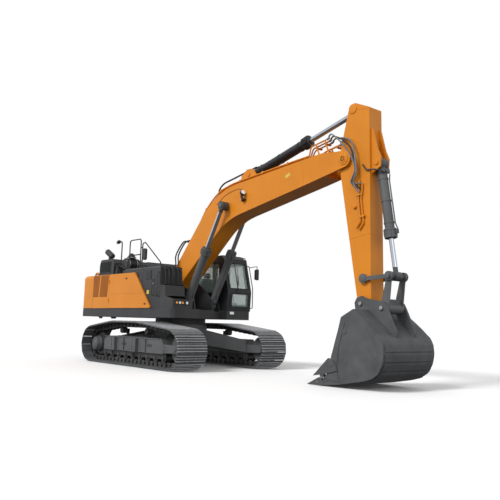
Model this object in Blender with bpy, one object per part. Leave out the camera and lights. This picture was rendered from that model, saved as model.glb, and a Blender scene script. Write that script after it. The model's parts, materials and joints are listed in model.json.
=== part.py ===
"""Crawler excavator of the 50-tonne class, built as separate solids on their joint axes.

Metres, +X forward, +Y to the operator's left, +Z up. The geometry is worked out about the
swing axis at ground level, and one root empty shifts it so that the origin is under the
middle of the whole machine.
"""
import math

import bmesh
import bpy
from mathutils import Matrix, Vector

# ---------------------------------------------------------------- clearances
GAP = 0.0003            # between pieces that rest on each other
RUN = 0.006             # between pieces that move past each other
PIN_PLAY = 0.0003       # between a pin's corners and the flats of its bore
SLIDE_PLAY = 0.0006     # between a rod and its gland
PIN_SIDES = 24          # sides of a pin and its bore
SEGMENTS = 16           # sides of other round pieces
THROUGH = 0.1           # how far a cutter runs past what it cuts

# ---------------------------------------------------------------- undercarriage
TRACK_GAUGE = 2.82
SHOE_WIDTH = 0.93
WHEELBASE = 4.33        # idler centre to sprocket centre
WHEEL_RADIUS = 0.546    # over the shoes
SHOE_COUNT = 53
PLATE_INSIDE = 0.060    # chain pitch line to the shoe plate's inner face
PLATE_OUTSIDE = 0.080
GROUSER_TIP = 0.115
CHAIN_INSIDE = 0.075
CHAIN_WIDTH = 0.30
CARRIER_X = (-0.85, 0.55)
CARRIER_RADIUS = 0.085
TRACK_TOP = 1.255       # over the carrier rollers
ROLLER_COUNT = 9
ROLLER_RADIUS = 0.095
ROLLER_SPAN = 3.2       # first roller to last
FRAME_WIDTH = 0.44
FRAME_BOTTOM = 0.40
FRAME_TOP = 0.80
YOKE_INSIDE = 0.155
TEETH = 23
CARBODY_TOP = 1.19
CARBODY_RADIUS = 0.80
BEARING_RADIUS = 0.75

# ---------------------------------------------------------------- upper structure
DECK_BOTTOM = 1.362
DECK_TOP = 1.62
UPPER_WIDTH = 2.99
TAIL_RADIUS = 3.80
TAIL_FRONT = -2.86      # front face of the counterweight
TAIL_TOP = 2.68
BODY_TOP = 2.66         # top of the side panels
STRIPE_END = -1.80      # rear panel to side door
DOOR_THICKNESS = 0.045
HINGE_RADIUS = 0.0153
CAB_HINGE_RADIUS = 0.0158
HINGE_SIDES = 32
HINGE_OUT = 0.010       # hinge axis outside the door's face
HINGE_IN = 0.008        # and ahead of its rear edge
RIGHT_DOOR_TOP_FRONT = -0.29
RIGHT_DOOR_LOW_FRONT = 0.66
LEFT_DOOR_TOP_FRONT = -0.95
LEFT_DOOR_LOW_FRONT = -0.52
FIREWALL = -0.97
TANK_TOP = 2.80
TANK_SPLIT = 0.10
TANK_FRONT = 1.03
TANK_INNER = -0.72
TOOL_BOX_FRONT = 1.72
HOOD_TOP = 3.10
MUFFLER_TOP = 3.17
RAIL_RADIUS = 0.018
DECK_RIGHT_FRONT = 1.78
DECK_MIDDLE_FRONT = 1.22
DECK_LEFT_FRONT = 1.50

# ---------------------------------------------------------------- cab
CAB_RIGHT = 0.63
CAB_LEFT = 1.53
CAB_REAR = -0.38
CAB_FRONT = 1.47
CAB_TOP = 3.27
CAB_WALL = 0.06
GLASS = 0.008
DOOR_REAR = 0.30
DOOR_FRONT = 1.34

# ---------------------------------------------------------------- boom, arm, bucket
BOOM_FOOT = (0.15, 2.42)
BOOM_LENGTH = 7.03
BOOM_ANGLE = math.radians(21.8)
BOOM_WIDTH = 0.58
ARM_LENGTH = 3.332
ARM_ANGLE = math.radians(-80.33)
ARM_WIDTH = 0.43
BUCKET_WIDTH = 1.70
BUCKET_LINK = (0.55, -0.095)    # link pin from the arm tip pin
IDLER_PIVOT = (2.80, 0.09)      # on the arm
IDLER_END = (0.673, 0.573)      # idler and link joint, from the arm tip pin
BIG_PIN = 0.055
EAR_GAP = 0.58          # between the bucket's ears
COUPLER_PLATE = 0.028

BOOM_CYLINDER_FOOT = (0.93, 1.75)
BOOM_CYLINDER_EYE = (2.91, 1.02)     # on the boom
BOOM_CYLINDER_Y = 0.455
ARM_CYLINDER_FOOT = (3.90, 1.49)     # on the boom
ARM_CYLINDER_EYE = (-1.09, 0.41)     # on the arm
BUCKET_CYLINDER_FOOT = (0.35, 0.80)  # on the arm

COLOURS = {
    "orange": ((0.78, 0.29, 0.045), 0.38, 0.0),
    "grey": ((0.10, 0.105, 0.11), 0.55, 0.3),
    "black": ((0.02, 0.022, 0.025), 0.5, 0.0),
    "steel": ((0.16, 0.165, 0.17), 0.5, 0.6),
    "chrome": ((0.75, 0.77, 0.8), 0.12, 1.0),
    "glass": ((0.45, 0.56, 0.53), 0.05, 0.0),
    "fabric": ((0.03, 0.03, 0.035), 0.9, 0.0),
}


# ---------------------------------------------------------------- helpers
def material(name):
    """A Principled material from COLOURS, made once."""
    found = bpy.data.materials.get(name)
    if found:
        return found
    colour, rough, metal = COLOURS[name]
    made = bpy.data.materials.new(name)
    made.use_nodes = True
    shader = made.node_tree.nodes["Principled BSDF"]
    shader.inputs["Base Color"].default_value = (*colour, 1.0)
    shader.inputs["Roughness"].default_value = rough
    shader.inputs["Metallic"].default_value = metal
    return made


def to_object(name, bm, keep_normals=False):
    if not keep_normals:
        bmesh.ops.recalc_face_normals(bm, faces=bm.faces)
    mesh = bpy.data.meshes.new(name)
    bm.to_mesh(mesh)
    bm.free()
    made = bpy.data.objects.new(name, mesh)
    bpy.context.collection.objects.link(made)
    return made


def fillet(points, steps=5):
    """Round the corners of a polygon: a point (x, z, r) gets an arc of radius r."""
    out = []
    count = len(points)
    for i, point in enumerate(points):
        here = Vector(point[:2])
        if len(point) < 3:
            out.append(tuple(here))
            continue
        before = (Vector(points[i - 1][:2]) - here).normalized()
        after = (Vector(points[(i + 1) % count][:2]) - here).normalized()
        half = before.angle(after) / 2
        reach = point[2] / math.tan(half)
        centre = here + (before + after).normalized() * point[2] / math.sin(half)
        first = here + before * reach - centre
        turn = math.atan2(first.x * (here + after * reach - centre).y
                          - first.y * (here + after * reach - centre).x,
                          first.dot(here + after * reach - centre))
        for k in range(steps + 1):
            arm = Matrix.Rotation(turn * k / steps, 2) @ first
            out.append(tuple(centre + arm))
    return out


def arc(centre, radius, start, end, steps):
    """Points on an arc, angles in degrees."""
    out = []
    for k in range(steps + 1):
        angle = math.radians(start + (end - start) * k / steps)
        out.append((centre[0] + radius * math.cos(angle), centre[1] + radius * math.sin(angle)))
    return out


def inset(points, depth):
    """Move each side of a polygon inwards by depth."""
    count = len(points)
    area = sum(points[i - 1][0] * points[i][1] - points[i][0] * points[i - 1][1]
               for i in range(count))
    sign = 1 if area > 0 else -1
    out = []
    for i in range(count):
        before, here, after = (Vector(points[(i + k) % count][:2]) for k in (-1, 0, 1))
        a = (here - before).normalized()
        b = (after - here).normalized()
        normal_a = Vector((-a.y, a.x)) * sign
        normal_b = Vector((-b.y, b.x)) * sign
        mid = (normal_a + normal_b).normalized()
        out.append(tuple(here + mid * depth / max(mid.dot(normal_a), 0.2)))
    return out


def prism(outline, low, high, axis="Y"):
    """Extrude a polygon: XZ points along Y, XY points along Z, or YZ points along X."""
    place = {"Y": lambda p, t: (p[0], t, p[1]),
             "Z": lambda p, t: (p[0], p[1], t),
             "X": lambda p, t: (t, p[0], p[1])}[axis]
    bm = bmesh.new()
    face = bm.faces.new([bm.verts.new(place(p, low)) for p in outline])
    grown = bmesh.ops.extrude_face_region(bm, geom=[face])
    shift = Vector(place((0, 0), high - low))
    moved = [v for v in grown["geom"] if isinstance(v, bmesh.types.BMVert)]
    bmesh.ops.translate(bm, vec=shift, verts=moved)
    return to_object("prism", bm)


def box(low, high, bevel=0.0):
    bm = bmesh.new()
    bmesh.ops.create_cube(bm, size=1.0)
    size = Vector(high) - Vector(low)
    bmesh.ops.scale(bm, vec=size, verts=bm.verts)
    bmesh.ops.translate(bm, vec=(Vector(low) + Vector(high)) / 2, verts=bm.verts)
    if bevel:
        bmesh.ops.bevel(bm, geom=bm.edges, offset=bevel, segments=1, affect="EDGES")
    return to_object("box", bm)


def hull(corners):
    """The convex solid of the given corners."""
    bm = bmesh.new()
    for corner in corners:
        bm.verts.new(corner)
    bmesh.ops.convex_hull(bm, input=bm.verts)
    return to_object("hull", bm)


def turned(profile, start, end, sides=SEGMENTS):
    """A round bar from start to end: profile lists (distance along, radius)."""
    start, end = Vector(start), Vector(end)
    direction = (end - start).normalized()
    across = direction.orthogonal().normalized()
    if abs(direction.y) > 0.99:
        across = Vector((1, 0, 0))
    other = direction.cross(across)
    bm = bmesh.new()
    rings = []
    for along, radius in profile:
        ring = []
        for k in range(sides):
            angle = 2 * math.pi * k / sides
            offset = across * math.cos(angle) + other * math.sin(angle)
            ring.append(bm.verts.new(start + direction * along + offset * radius))
        rings.append(ring)
    bm.faces.new(rings[0])
    bm.faces.new(rings[-1])
    for a, b in zip(rings, rings[1:]):
        for k in range(sides):
            bm.faces.new((a[k - 1], a[k], b[k], b[k - 1]))
    made = to_object("turned", bm)
    made.data.shade_smooth()
    made.data.set_sharp_from_angle(angle=math.radians(40))
    return made


def bar(start, end, radius, sides=SEGMENTS):
    length = (Vector(end) - Vector(start)).length
    return turned([(0, radius), (length, radius)], start, end, sides)


def cross_bar(at, y0, y1, radius, sides=PIN_SIDES):
    """A round bar along Y through the XZ point at."""
    return bar((at[0], y0, at[1]), (at[0], y1, at[1]), radius, sides)


def tube(points, radius, corner=0.06):
    """A bent rail of round tube through 3-D points."""
    curve = bpy.data.curves.new("tube", "CURVE")
    curve.dimensions = "3D"
    curve.bevel_depth = radius
    curve.bevel_resolution = 1
    curve.use_fill_caps = True
    path = []
    for i, point in enumerate(points):
        here = Vector(point)
        if i in (0, len(points) - 1):
            path.append(here)
            continue
        for weight in (0.0, 0.33, 0.67, 1.0):
            before = here + (Vector(points[i - 1]) - here).normalized() * corner
            after = here + (Vector(points[i + 1]) - here).normalized() * corner
            first = before.lerp(here, weight)
            path.append(first.lerp(here.lerp(after, weight), weight))
    spline = curve.splines.new("POLY")
    spline.points.add(len(path) - 1)
    for slot, point in zip(spline.points, path):
        slot.co = (*point, 1.0)
    holder = bpy.data.objects.new("tube", curve)
    bpy.context.collection.objects.link(holder)
    graph = bpy.context.evaluated_depsgraph_get()
    mesh = bpy.data.meshes.new_from_object(holder.evaluated_get(graph))
    bpy.data.objects.remove(holder)
    bpy.data.curves.remove(curve)
    bm = bmesh.new()
    bm.from_mesh(mesh)
    bpy.data.meshes.remove(mesh)
    bmesh.ops.remove_doubles(bm, verts=bm.verts, dist=0.00005)
    return to_object("tube", bm)


def combine(target, tools, operation):
    """Apply Boolean modifiers to target with each tool, and remove the tools."""
    for tool in tools:
        step = target.modifiers.new("step", "BOOLEAN")
        step.operation = operation
        step.object = tool
        step.solver = "EXACT"
        graph = bpy.context.evaluated_depsgraph_get()
        mesh = bpy.data.meshes.new_from_object(target.evaluated_get(graph))
        target.modifiers.clear()
        old = target.data
        target.data = mesh
        bpy.data.meshes.remove(old)
        old = tool.data
        bpy.data.objects.remove(tool)
        bpy.data.meshes.remove(old)
    return target


def fuse(target, *tools):
    return combine(target, tools, "UNION")


def cut(target, *tools):
    return combine(target, tools, "DIFFERENCE")


def common(target, *tools):
    return combine(target, tools, "INTERSECT")


def copy(source):
    made = source.copy()
    made.data = source.data.copy()
    bpy.context.collection.objects.link(made)
    return made


def pin_radius(bore):
    """Radius of a faceted pin that turns freely in a faceted bore."""
    return bore * math.cos(math.pi / PIN_SIDES) - PIN_PLAY


def frame_at(origin, angle):
    """A function that places (along, up) points of a turned side view in XZ."""
    c, s = math.cos(angle), math.sin(angle)

    def place(along, up, *rest):
        return (origin[0] + along * c - up * s, origin[1] + along * s + up * c, *rest)
    return place


def outline_at(place, points):
    return [place(*point) for point in points]


def side_hinge(side):
    return STRIPE_END + HINGE_IN - 0.002, side * (HALF_UPPER + HINGE_OUT)


def cab_hinge():
    return DOOR_REAR + 0.013, CAB_LEFT + HINGE_OUT


def hood_hinge():
    return -2.758, BODY_TOP - 0.005 + 0.0128


BODIES = {}


def finish(name, made, colour, body):
    """Name a solid, colour it and hang it on its body's empty."""
    made.name = name
    made.data.name = name
    made.data.materials.clear()
    made.data.materials.append(material(colour))
    empty = BODIES[body]
    bm = bmesh.new()
    bm.from_mesh(made.data)
    bmesh.ops.remove_doubles(bm, verts=bm.verts, dist=0.000002)
    bmesh.ops.translate(bm, vec=-empty["at"], verts=bm.verts)
    bm.to_mesh(made.data)
    bm.free()
    made.parent = empty["empty"]
    return made


def body(name, at, parent=None):
    """An empty on a body's joint axis."""
    empty = bpy.data.objects.new("axis_" + name, None)
    empty.empty_display_size = 0.2
    bpy.context.collection.objects.link(empty)
    at = Vector(at)
    if parent:
        empty.parent = BODIES[parent]["empty"]
        empty.location = at - BODIES[parent]["at"]
    else:
        empty.location = at
    BODIES[name] = {"empty": empty, "at": at}


# ---------------------------------------------------------------- places of the pins
boom_at = frame_at(BOOM_FOOT, BOOM_ANGLE)
NOSE = boom_at(BOOM_LENGTH, 0)
arm_at = frame_at(NOSE, ARM_ANGLE)
TIP = arm_at(ARM_LENGTH, 0)


def bucket_at(along, up, *rest):
    return (TIP[0] + along, TIP[1] + up, *rest)


BOOM_EYE = boom_at(*BOOM_CYLINDER_EYE)
ARM_FOOT = boom_at(*ARM_CYLINDER_FOOT)
ARM_EYE = arm_at(*ARM_CYLINDER_EYE)
BUCKET_FOOT = arm_at(*BUCKET_CYLINDER_FOOT)
IDLER_PIN = arm_at(*IDLER_PIVOT)
IDLER_OUTER = bucket_at(*IDLER_END)
LINK_PIN = bucket_at(*BUCKET_LINK)

PITCH_RADIUS = WHEEL_RADIUS - GROUSER_TIP
CARRIER_Z = TRACK_TOP - GROUSER_TIP - CHAIN_INSIDE - CARRIER_RADIUS - RUN
HALF_UPPER = UPPER_WIDTH / 2
BUCKET_BACK = 1.0       # furthest point of the bucket forward of the tip pin
ORIGIN_SHIFT = (TAIL_RADIUS - TIP[0] - BUCKET_BACK) / 2


# ---------------------------------------------------------------- undercarriage pieces
def belt_stations(circles, count, phases):
    """Points and outward normals along the belt round the circles, by arc length."""
    pieces = []
    hits = []
    for i, (centre, radius) in enumerate(circles):
        other, other_radius = circles[(i + 1) % len(circles)]
        run = Vector(other) - Vector(centre)
        lean = (radius - other_radius) / run.length
        along = run.normalized()
        right = Vector((along.y, -along.x))
        normal = along * lean + right * math.sqrt(1 - lean * lean)
        hits.append(normal)
        start = Vector(centre) + normal * radius
        end = Vector(other) + normal * other_radius
        pieces.append([start, end, normal])
    route = []
    for i, (start, end, normal) in enumerate(pieces):
        route.append(("run", (end - start).length, start, end, normal))
        centre, radius = circles[(i + 1) % len(circles)]
        following = hits[(i + 1) % len(circles)]
        first = math.atan2(normal.y, normal.x)
        sweep = (math.atan2(following.y, following.x) - first) % (2 * math.pi)
        route.append(("arc", sweep * radius, Vector(centre), radius, (first, sweep)))
    total = sum(item[1] for item in route)
    out = []
    for i in range(count):
        for phase in phases:
            along = (i + phase) / count * total
            for kind, length, a, b, c in route:
                if along <= length:
                    break
                along -= length
            if kind == "run":
                out.append((a.lerp(b, along / length), c))
            else:
                angle = c[0] + along / b
                normal = Vector((math.cos(angle), math.sin(angle)))
                out.append((a + normal * b, normal))
    return out, total


def track_circles():
    half = WHEELBASE / 2
    carrier = CARRIER_RADIUS + CHAIN_INSIDE + RUN
    return [((-half, WHEEL_RADIUS), PITCH_RADIUS), ((half, WHEEL_RADIUS), PITCH_RADIUS),
            ((CARRIER_X[1], CARRIER_Z), carrier), ((CARRIER_X[0], CARRIER_Z), carrier)]


SHOE_PHASES = ((0.0, PLATE_INSIDE + 0.006), (0.14, GROUSER_TIP), (0.86, GROUSER_TIP))


def track(side):
    """The endless track: shoe plates over a narrower chain, as one closed loop."""
    stations, _ = belt_stations(track_circles(), SHOE_COUNT, [p[0] for p in SHOE_PHASES])
    middle = side * TRACK_GAUGE / 2
    shoe, chain = SHOE_WIDTH / 2, CHAIN_WIDTH / 2
    bm = bmesh.new()
    rings = []
    for i, (point, normal) in enumerate(stations):
        tip = SHOE_PHASES[i % len(SHOE_PHASES)][1]
        section = [(-shoe, tip), (shoe, tip), (shoe, PLATE_INSIDE), (chain, PLATE_INSIDE),
                   (chain, -CHAIN_INSIDE), (-chain, -CHAIN_INSIDE), (-chain, PLATE_INSIDE),
                   (-shoe, PLATE_INSIDE)]
        ring = []
        for y, out in section:
            place = point + normal * out
            ring.append(bm.verts.new((place.x, middle + y, place.y)))
        rings.append(ring)
    for a, b in zip(rings, rings[1:] + rings[:1]):
        for k in range(len(a)):
            bm.faces.new((a[k - 1], a[k], b[k], b[k - 1]))
    return to_object("track", bm)


def wheel_rim():
    """Radius of a wheel that runs inside the faceted chain."""
    _, total = belt_stations(track_circles(), 1, [0.0])
    facet = max(0.72 * total / SHOE_COUNT, 0.01) / PITCH_RADIUS
    return (PITCH_RADIUS - CHAIN_INSIDE) * math.cos(facet / 2) - GAP


def sprocket(side):
    """Toothed drive wheel with its final drive, at the rear."""
    x, z, middle = -WHEELBASE / 2, WHEEL_RADIUS, side * TRACK_GAUGE / 2
    rim = wheel_rim()
    outline = []
    for k in range(TEETH):
        for part, depth in ((0.0, 0.0), (0.35, 0.0), (0.68, 0.045)):
            angle = 2 * math.pi * (k + part) / TEETH
            radius = rim - depth
            outline.append((x + radius * math.cos(angle), z + radius * math.sin(angle)))
    wheel = prism(outline, middle - 0.045, middle + 0.045)
    outer = side * 0.27
    drive = turned([(0, 0.24), (0.30, 0.24), (0.36, 0.20), (0.42, 0.19)],
                   (x, middle - side * (YOKE_INSIDE - GAP), z), (x, middle + outer, z), 24)
    return fuse(drive, wheel)


def idler(side):
    """Front guide wheel on its shaft."""
    x, z, middle = WHEELBASE / 2, WHEEL_RADIUS, side * TRACK_GAUGE / 2
    rim = wheel_rim()
    half = CHAIN_WIDTH / 2 - 0.03
    web = [(0, 0.13), (0.03, 0.14), (0.032, rim - 0.05), (0.04, rim),
           (2 * half - 0.04, rim), (2 * half - 0.032, rim - 0.05), (2 * half - 0.03, 0.14),
           (2 * half, 0.13)]
    wheel = turned(web, (x, middle - half, z), (x, middle + half, z), 24)
    shaft = cross_bar((x, z), middle - YOKE_INSIDE + GAP, middle + YOKE_INSIDE - GAP, 0.06)
    return fuse(wheel, shaft)


def rollers(side):
    """The lower rollers between two side rails, under one long seat plate."""
    middle = side * TRACK_GAUGE / 2
    run = WHEEL_RADIUS - PITCH_RADIUS + CHAIN_INSIDE
    z = run + ROLLER_RADIUS + GAP
    reach = ROLLER_SPAN / 2 + 0.1
    seat = box((-reach, middle - 0.17, z - 0.02), (reach, middle + 0.17, FRAME_BOTTOM - GAP))
    channel = box((-reach - 1, middle - 0.135, 0), (reach + 1, middle + 0.135, FRAME_BOTTOM - 0.015))
    cut(seat, channel)
    wheels = [cross_bar((-ROLLER_SPAN / 2 + ROLLER_SPAN * k / (ROLLER_COUNT - 1), z),
                        middle - 0.137, middle + 0.137, ROLLER_RADIUS, 12)
              for k in range(ROLLER_COUNT)]
    return fuse(seat, *wheels)


def carrier_rollers(side):
    """The two upper rollers on brackets that share one foot rail."""
    middle = side * TRACK_GAUGE / 2
    rail = box((CARRIER_X[0] - 0.12, middle - 0.15, FRAME_TOP + GAP),
               (CARRIER_X[1] + 0.12, middle + 0.15, FRAME_TOP + 0.02))
    for x in CARRIER_X:
        post = box((x - 0.06, middle - side * 0.13 - 0.02, FRAME_TOP + 0.01),
                   (x + 0.06, middle - side * 0.13 + 0.02, CARRIER_Z + 0.05))
        roller = turned([(0, 0.045), (0.06, 0.045), (0.061, CARRIER_RADIUS),
                         (0.24, CARRIER_RADIUS)],
                        (x, middle - side * 0.14, CARRIER_Z), (x, middle + side, CARRIER_Z), 12)
        fuse(rail, fuse(post, roller))
    return rail


def track_frame(side):
    """Box beam with the idler yoke in front, the drive mount behind and two guard posts."""
    middle = side * TRACK_GAUGE / 2
    half = FRAME_WIDTH / 2
    base = WHEELBASE / 2
    rise = FRAME_TOP - 0.02
    beam = prism(fillet([(-base + 0.52, FRAME_BOTTOM), (base - 0.52, FRAME_BOTTOM),
                         (base - 0.50, FRAME_BOTTOM + 0.22), (base - 0.66, FRAME_TOP),
                         (-base + 0.72, FRAME_TOP), (-base + 0.52, FRAME_BOTTOM + 0.28)]),
                 middle - half, middle + half)
    pieces = []
    for s in (-1, 1):
        y = sorted((middle + s * YOKE_INSIDE, middle + s * (half - 0.01)))
        yoke = fillet([(base - 0.75, FRAME_BOTTOM + 0.02), (base + 0.17, WHEEL_RADIUS - 0.10, 0.04),
                       (base + 0.17, WHEEL_RADIUS + 0.10, 0.04), (base - 0.75, rise - 0.12)], 3)
        pieces.append(prism(yoke, *y))
    y = sorted((middle - side * YOKE_INSIDE, middle - side * (half - 0.01)))
    mount = fillet([(-base + 0.42, FRAME_BOTTOM + 0.02), (-base - 0.12, WHEEL_RADIUS - 0.24, 0.1),
                    (-base - 0.24, WHEEL_RADIUS, 0.1), (-base - 0.12, WHEEL_RADIUS + 0.24, 0.1),
                    (-base + 0.75, rise - 0.05)], 3)
    pieces.append(prism(mount, *y))
    for x in (-1.05, 0.15):
        y = sorted((middle + side * (half - 0.02), middle + side * (half + 0.09)))
        pieces.append(box((x - 0.19, y[0], FRAME_BOTTOM + 0.02), (x + 0.19, y[1], FRAME_TOP - 0.03)))
    return fuse(beam, *pieces)


def carbody():
    """Centre drum and four legs down to the track frames."""
    drum = turned([(0, CARBODY_RADIUS - 0.08), (0.1, CARBODY_RADIUS), (0.55, CARBODY_RADIUS)],
                  (0, 0, CARBODY_TOP - GAP - 0.55), (0, 0, CARBODY_TOP - GAP), 32)
    end = TRACK_GAUGE / 2 - FRAME_WIDTH / 2 - GAP
    legs = []
    for sx in (-1, 1):
        for sy in (-1, 1):
            corners = []
            for y, x0, x1, z0, z1 in ((0.1, 0.1, 0.62, 0.66, 1.12),
                                      (end, 0.95, 1.68, FRAME_BOTTOM + 0.03, FRAME_TOP - 0.02)):
                corners += [(sx * x, sy * y, z) for x in (x0, x1) for z in (z0, z1)]
            legs.append(hull(corners))
    return fuse(drum, *legs)


def swing_bearing():
    ring = bar((0, 0, CARBODY_TOP), (0, 0, DECK_BOTTOM - GAP), BEARING_RADIUS, 40)
    return cut(ring, bar((0, 0, 0), (0, 0, DECK_TOP), BEARING_RADIUS - 0.15, 40))


# ---------------------------------------------------------------- upper pieces
def tail_arc(radius, steps=12):
    """Rear edge of the upper structure in plan, from left to right."""
    side = math.degrees(math.asin(HALF_UPPER / radius))
    return arc((0, 0), radius, 180 - side, 180 + side, steps)


def bracket_plate(points, low, high):
    return prism(fillet(points, 4), low, high)


def main_frame():
    """Deck and skirt of the upper structure with the boom's brackets."""
    half = HALF_UPPER
    plan = [(DECK_RIGHT_FRONT, -half, 0.12), (DECK_RIGHT_FRONT, -0.60),
            (DECK_MIDDLE_FRONT, -0.58), (DECK_MIDDLE_FRONT, 0.58),
            (DECK_LEFT_FRONT, 0.58), (DECK_LEFT_FRONT, half, 0.12)]
    plan = fillet(plan + tail_arc(TAIL_RADIUS), 4)
    deck = prism(plan, DECK_BOTTOM, DECK_TOP, "Z")
    low = DECK_TOP - 0.05
    foot_x, foot_z = BOOM_FOOT
    inner = BOOM_WIDTH / 2 + 0.01
    cheek = [(foot_x - 0.95, low), (foot_x - 0.25, foot_z + 0.10, 0.15),
             (foot_x + 0.02, foot_z + 0.26, 0.14), (foot_x + 0.24, foot_z + 0.02, 0.15),
             (foot_x + 0.95, DECK_TOP + 0.32, 0.1), (foot_x + 1.04, low)]
    cx, cz = BOOM_CYLINDER_FOOT
    ear = [(cx - 0.32, low), (cx - 0.12, cz + 0.13, 0.08), (cx + 0.12, cz + 0.13, 0.08),
           (cx + 0.26, low)]
    outer = BOOM_CYLINDER_Y + 0.12
    pieces = []
    for s in (-1, 1):
        y = sorted((s * (inner + 0.045), s * (outer - 0.005)))
        cut(deck, box((cx + 0.05, y[0], DECK_TOP - 0.035), (DECK_RIGHT_FRONT, y[1], DECK_TOP + 0.1)))
        pieces.append(bracket_plate(cheek, *sorted((s * inner, s * (inner + 0.04)))))
        pieces.append(bracket_plate(ear, *sorted((s * outer, s * (outer + 0.035)))))
        pieces.append(cross_bar((cx, cz), *sorted((s * (inner + 0.03), s * (outer + 0.042))),
                                pin_radius(BIG_PIN)))
    pieces.append(cross_bar(BOOM_FOOT, -inner - 0.10, inner + 0.10, pin_radius(BIG_PIN + 0.02)))
    return fuse(deck, *pieces)


def counterweight():
    """Cast tail weight with rounded upper edges."""
    plan = [(TAIL_FRONT, HALF_UPPER)] + tail_arc(TAIL_RADIUS) + [(TAIL_FRONT, -HALF_UPPER)]
    made = prism(plan, DECK_TOP + GAP, TAIL_TOP, "Z")
    bm = bmesh.new()
    bm.from_mesh(made.data)
    rear = [e for e in bm.edges
            if all(v.co.z > TAIL_TOP - 0.001 for v in e.verts)
            and not all(abs(v.co.x - TAIL_FRONT) < 0.001 for v in e.verts)]
    bmesh.ops.bevel(bm, geom=rear, offset=0.11, segments=3, affect="EDGES", profile=0.5)
    bm.to_mesh(made.data)
    bm.free()
    eyes = []
    for s in (-1, 1):
        y = s * 1.12
        eyes.append(tube([(-3.26, y, TAIL_TOP - 0.03), (-3.26, y, TAIL_TOP + 0.12),
                          (-3.46, y, TAIL_TOP + 0.12), (-3.46, y, TAIL_TOP - 0.03)], 0.025))
    return fuse(made, *eyes)


def side_skin(side, x0, low_front, top_front, low=DECK_TOP + RUN):
    """A flat orange body panel with a straight or slanted front edge."""
    y = sorted((side * HALF_UPPER, side * (HALF_UPPER - DOOR_THICKNESS)))
    outline = [(x0, low), (low_front, low, 0.03), (top_front, BODY_TOP, 0.08), (x0, BODY_TOP)]
    return prism(fillet(outline, 3), *y)


def knuckles(x, y, heights, radius):
    """The door's share of its hinge: short upright bars on the hinge axis."""
    return [bar((x, y, z), (x, y, z + 0.12), radius, HINGE_SIDES) for z in heights]


def side_door(side, low_front, top_front):
    x, y = side_hinge(side)
    return fuse(side_skin(side, STRIPE_END, low_front, top_front),
                *knuckles(x, y, (1.80, 2.38), HINGE_RADIUS))


def engine_bay():
    """Fixed roof frame over the engine with its firewall and rear posts."""
    inner = HALF_UPPER - DOOR_THICKNESS - 0.006
    roof = box((TAIL_FRONT + 0.005, -inner, BODY_TOP - 0.06), (FIREWALL, inner, BODY_TOP - 0.005))
    roof = cut(roof, box((-2.62, -0.66, BODY_TOP - 1), (-1.16, 1.12, BODY_TOP + 1)))
    pieces = [box((FIREWALL - 0.05, -inner, DECK_TOP + GAP), (FIREWALL, inner, BODY_TOP - 0.02))]
    for s in (-1, 1):
        y = sorted((s * inner, s * (inner - 0.10)))
        for x in (TAIL_FRONT + 0.005, STRIPE_END - 0.10):
            pieces.append(box((x, y[0], DECK_TOP + GAP), (x + 0.09, y[1], BODY_TOP - 0.02)))
    return fuse(roof, *pieces)


def muffler_housing():
    """Right-hand louvred housing beside the hood, with chamfered upper edges."""
    y0, y1 = -HALF_UPPER + 0.11, -0.80
    outline = [(-2.72, BODY_TOP - 0.005 + GAP), (-2.72, 3.00), (-2.60, MUFFLER_TOP),
               (-1.90, MUFFLER_TOP), (-1.78, MUFFLER_TOP - 0.13), (-1.78, BODY_TOP - 0.005 + GAP)]
    made = prism(outline, y0, y1)
    louvres = []
    for k in range(5):
        z = 2.78 + 0.066 * k
        louvres.append(box((-2.62, y0 - 0.05, z), (-1.98, y0 + 0.02, z + 0.034)))
    return cut(made, *louvres)


def exhaust():
    """Outlet pipe on the muffler housing, cut at a slant and pointing to the rear."""
    stem = bar((-2.36, -1.20, MUFFLER_TOP + GAP), (-2.36, -1.20, MUFFLER_TOP + 0.16), 0.07, 20)
    head = turned([(0, 0.07), (0.04, 0.095), (0.40, 0.095)],
                  (-2.22, -1.20, MUFFLER_TOP + 0.10), (-2.62, -1.20, MUFFLER_TOP + 0.30), 20)
    bore = bar((-2.42, -1.20, MUFFLER_TOP + 0.20), (-2.82, -1.20, MUFFLER_TOP + 0.40), 0.078, 20)
    return cut(fuse(stem, head), bore)


def engine_hood():
    """Raised hood over the engine: a thin shell, open underneath, hinged at the rear."""
    base = BODY_TOP + 0.001
    outline = [(-2.75, base), (-2.75, HOOD_TOP - 0.10), (-2.65, HOOD_TOP),
               (-1.20, HOOD_TOP - 0.02), (-1.04, HOOD_TOP - 0.16), (-1.04, base)]
    shell = prism(outline, -0.77, 1.25)
    hollow = prism(inset(outline, 0.035), -0.735, 1.215)
    floor = box((-2.715, -0.735, base - THROUGH), (-1.075, 1.215, base + 0.08))
    cut(shell, hollow, floor)
    x, z = hood_hinge()
    return fuse(shell, *[cross_bar((x, z), y, y + 0.16, 0.0125, 12) for y in (-0.50, 0.80)])


def air_cleaner():
    """Intake drum on its saddle, with the work lamp's post on the same plate."""
    seat = box((-1.42, -1.30, BODY_TOP - 0.005 + GAP), (-1.06, -0.86, 2.86))
    foot = box((-1.68, -1.30, BODY_TOP - 0.005 + GAP), (-1.40, -1.10, BODY_TOP + 0.02))
    drum = turned([(0, 0.15), (0.04, 0.19), (0.46, 0.19), (0.50, 0.15)],
                  (-1.24, -1.33, 2.97), (-1.24, -0.83, 2.97), 24)
    cap = turned([(0, 0.10), (0.10, 0.12), (0.20, 0.05)],
                 (-1.24, -1.08, 3.12), (-1.24, -1.08, 3.33), 20)
    x, y = -1.62, -1.22
    post = tube([(x, y, BODY_TOP), (x, y, 3.70), (x - 0.20, y, 3.74)], 0.02)
    lamp = turned([(0, 0.03), (0.05, 0.06), (0.10, 0.06)], (x - 0.14, y, 3.73),
                  (x - 0.30, y, 3.70), 16)
    return fuse(seat, foot, drum, cap, post, lamp)


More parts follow.
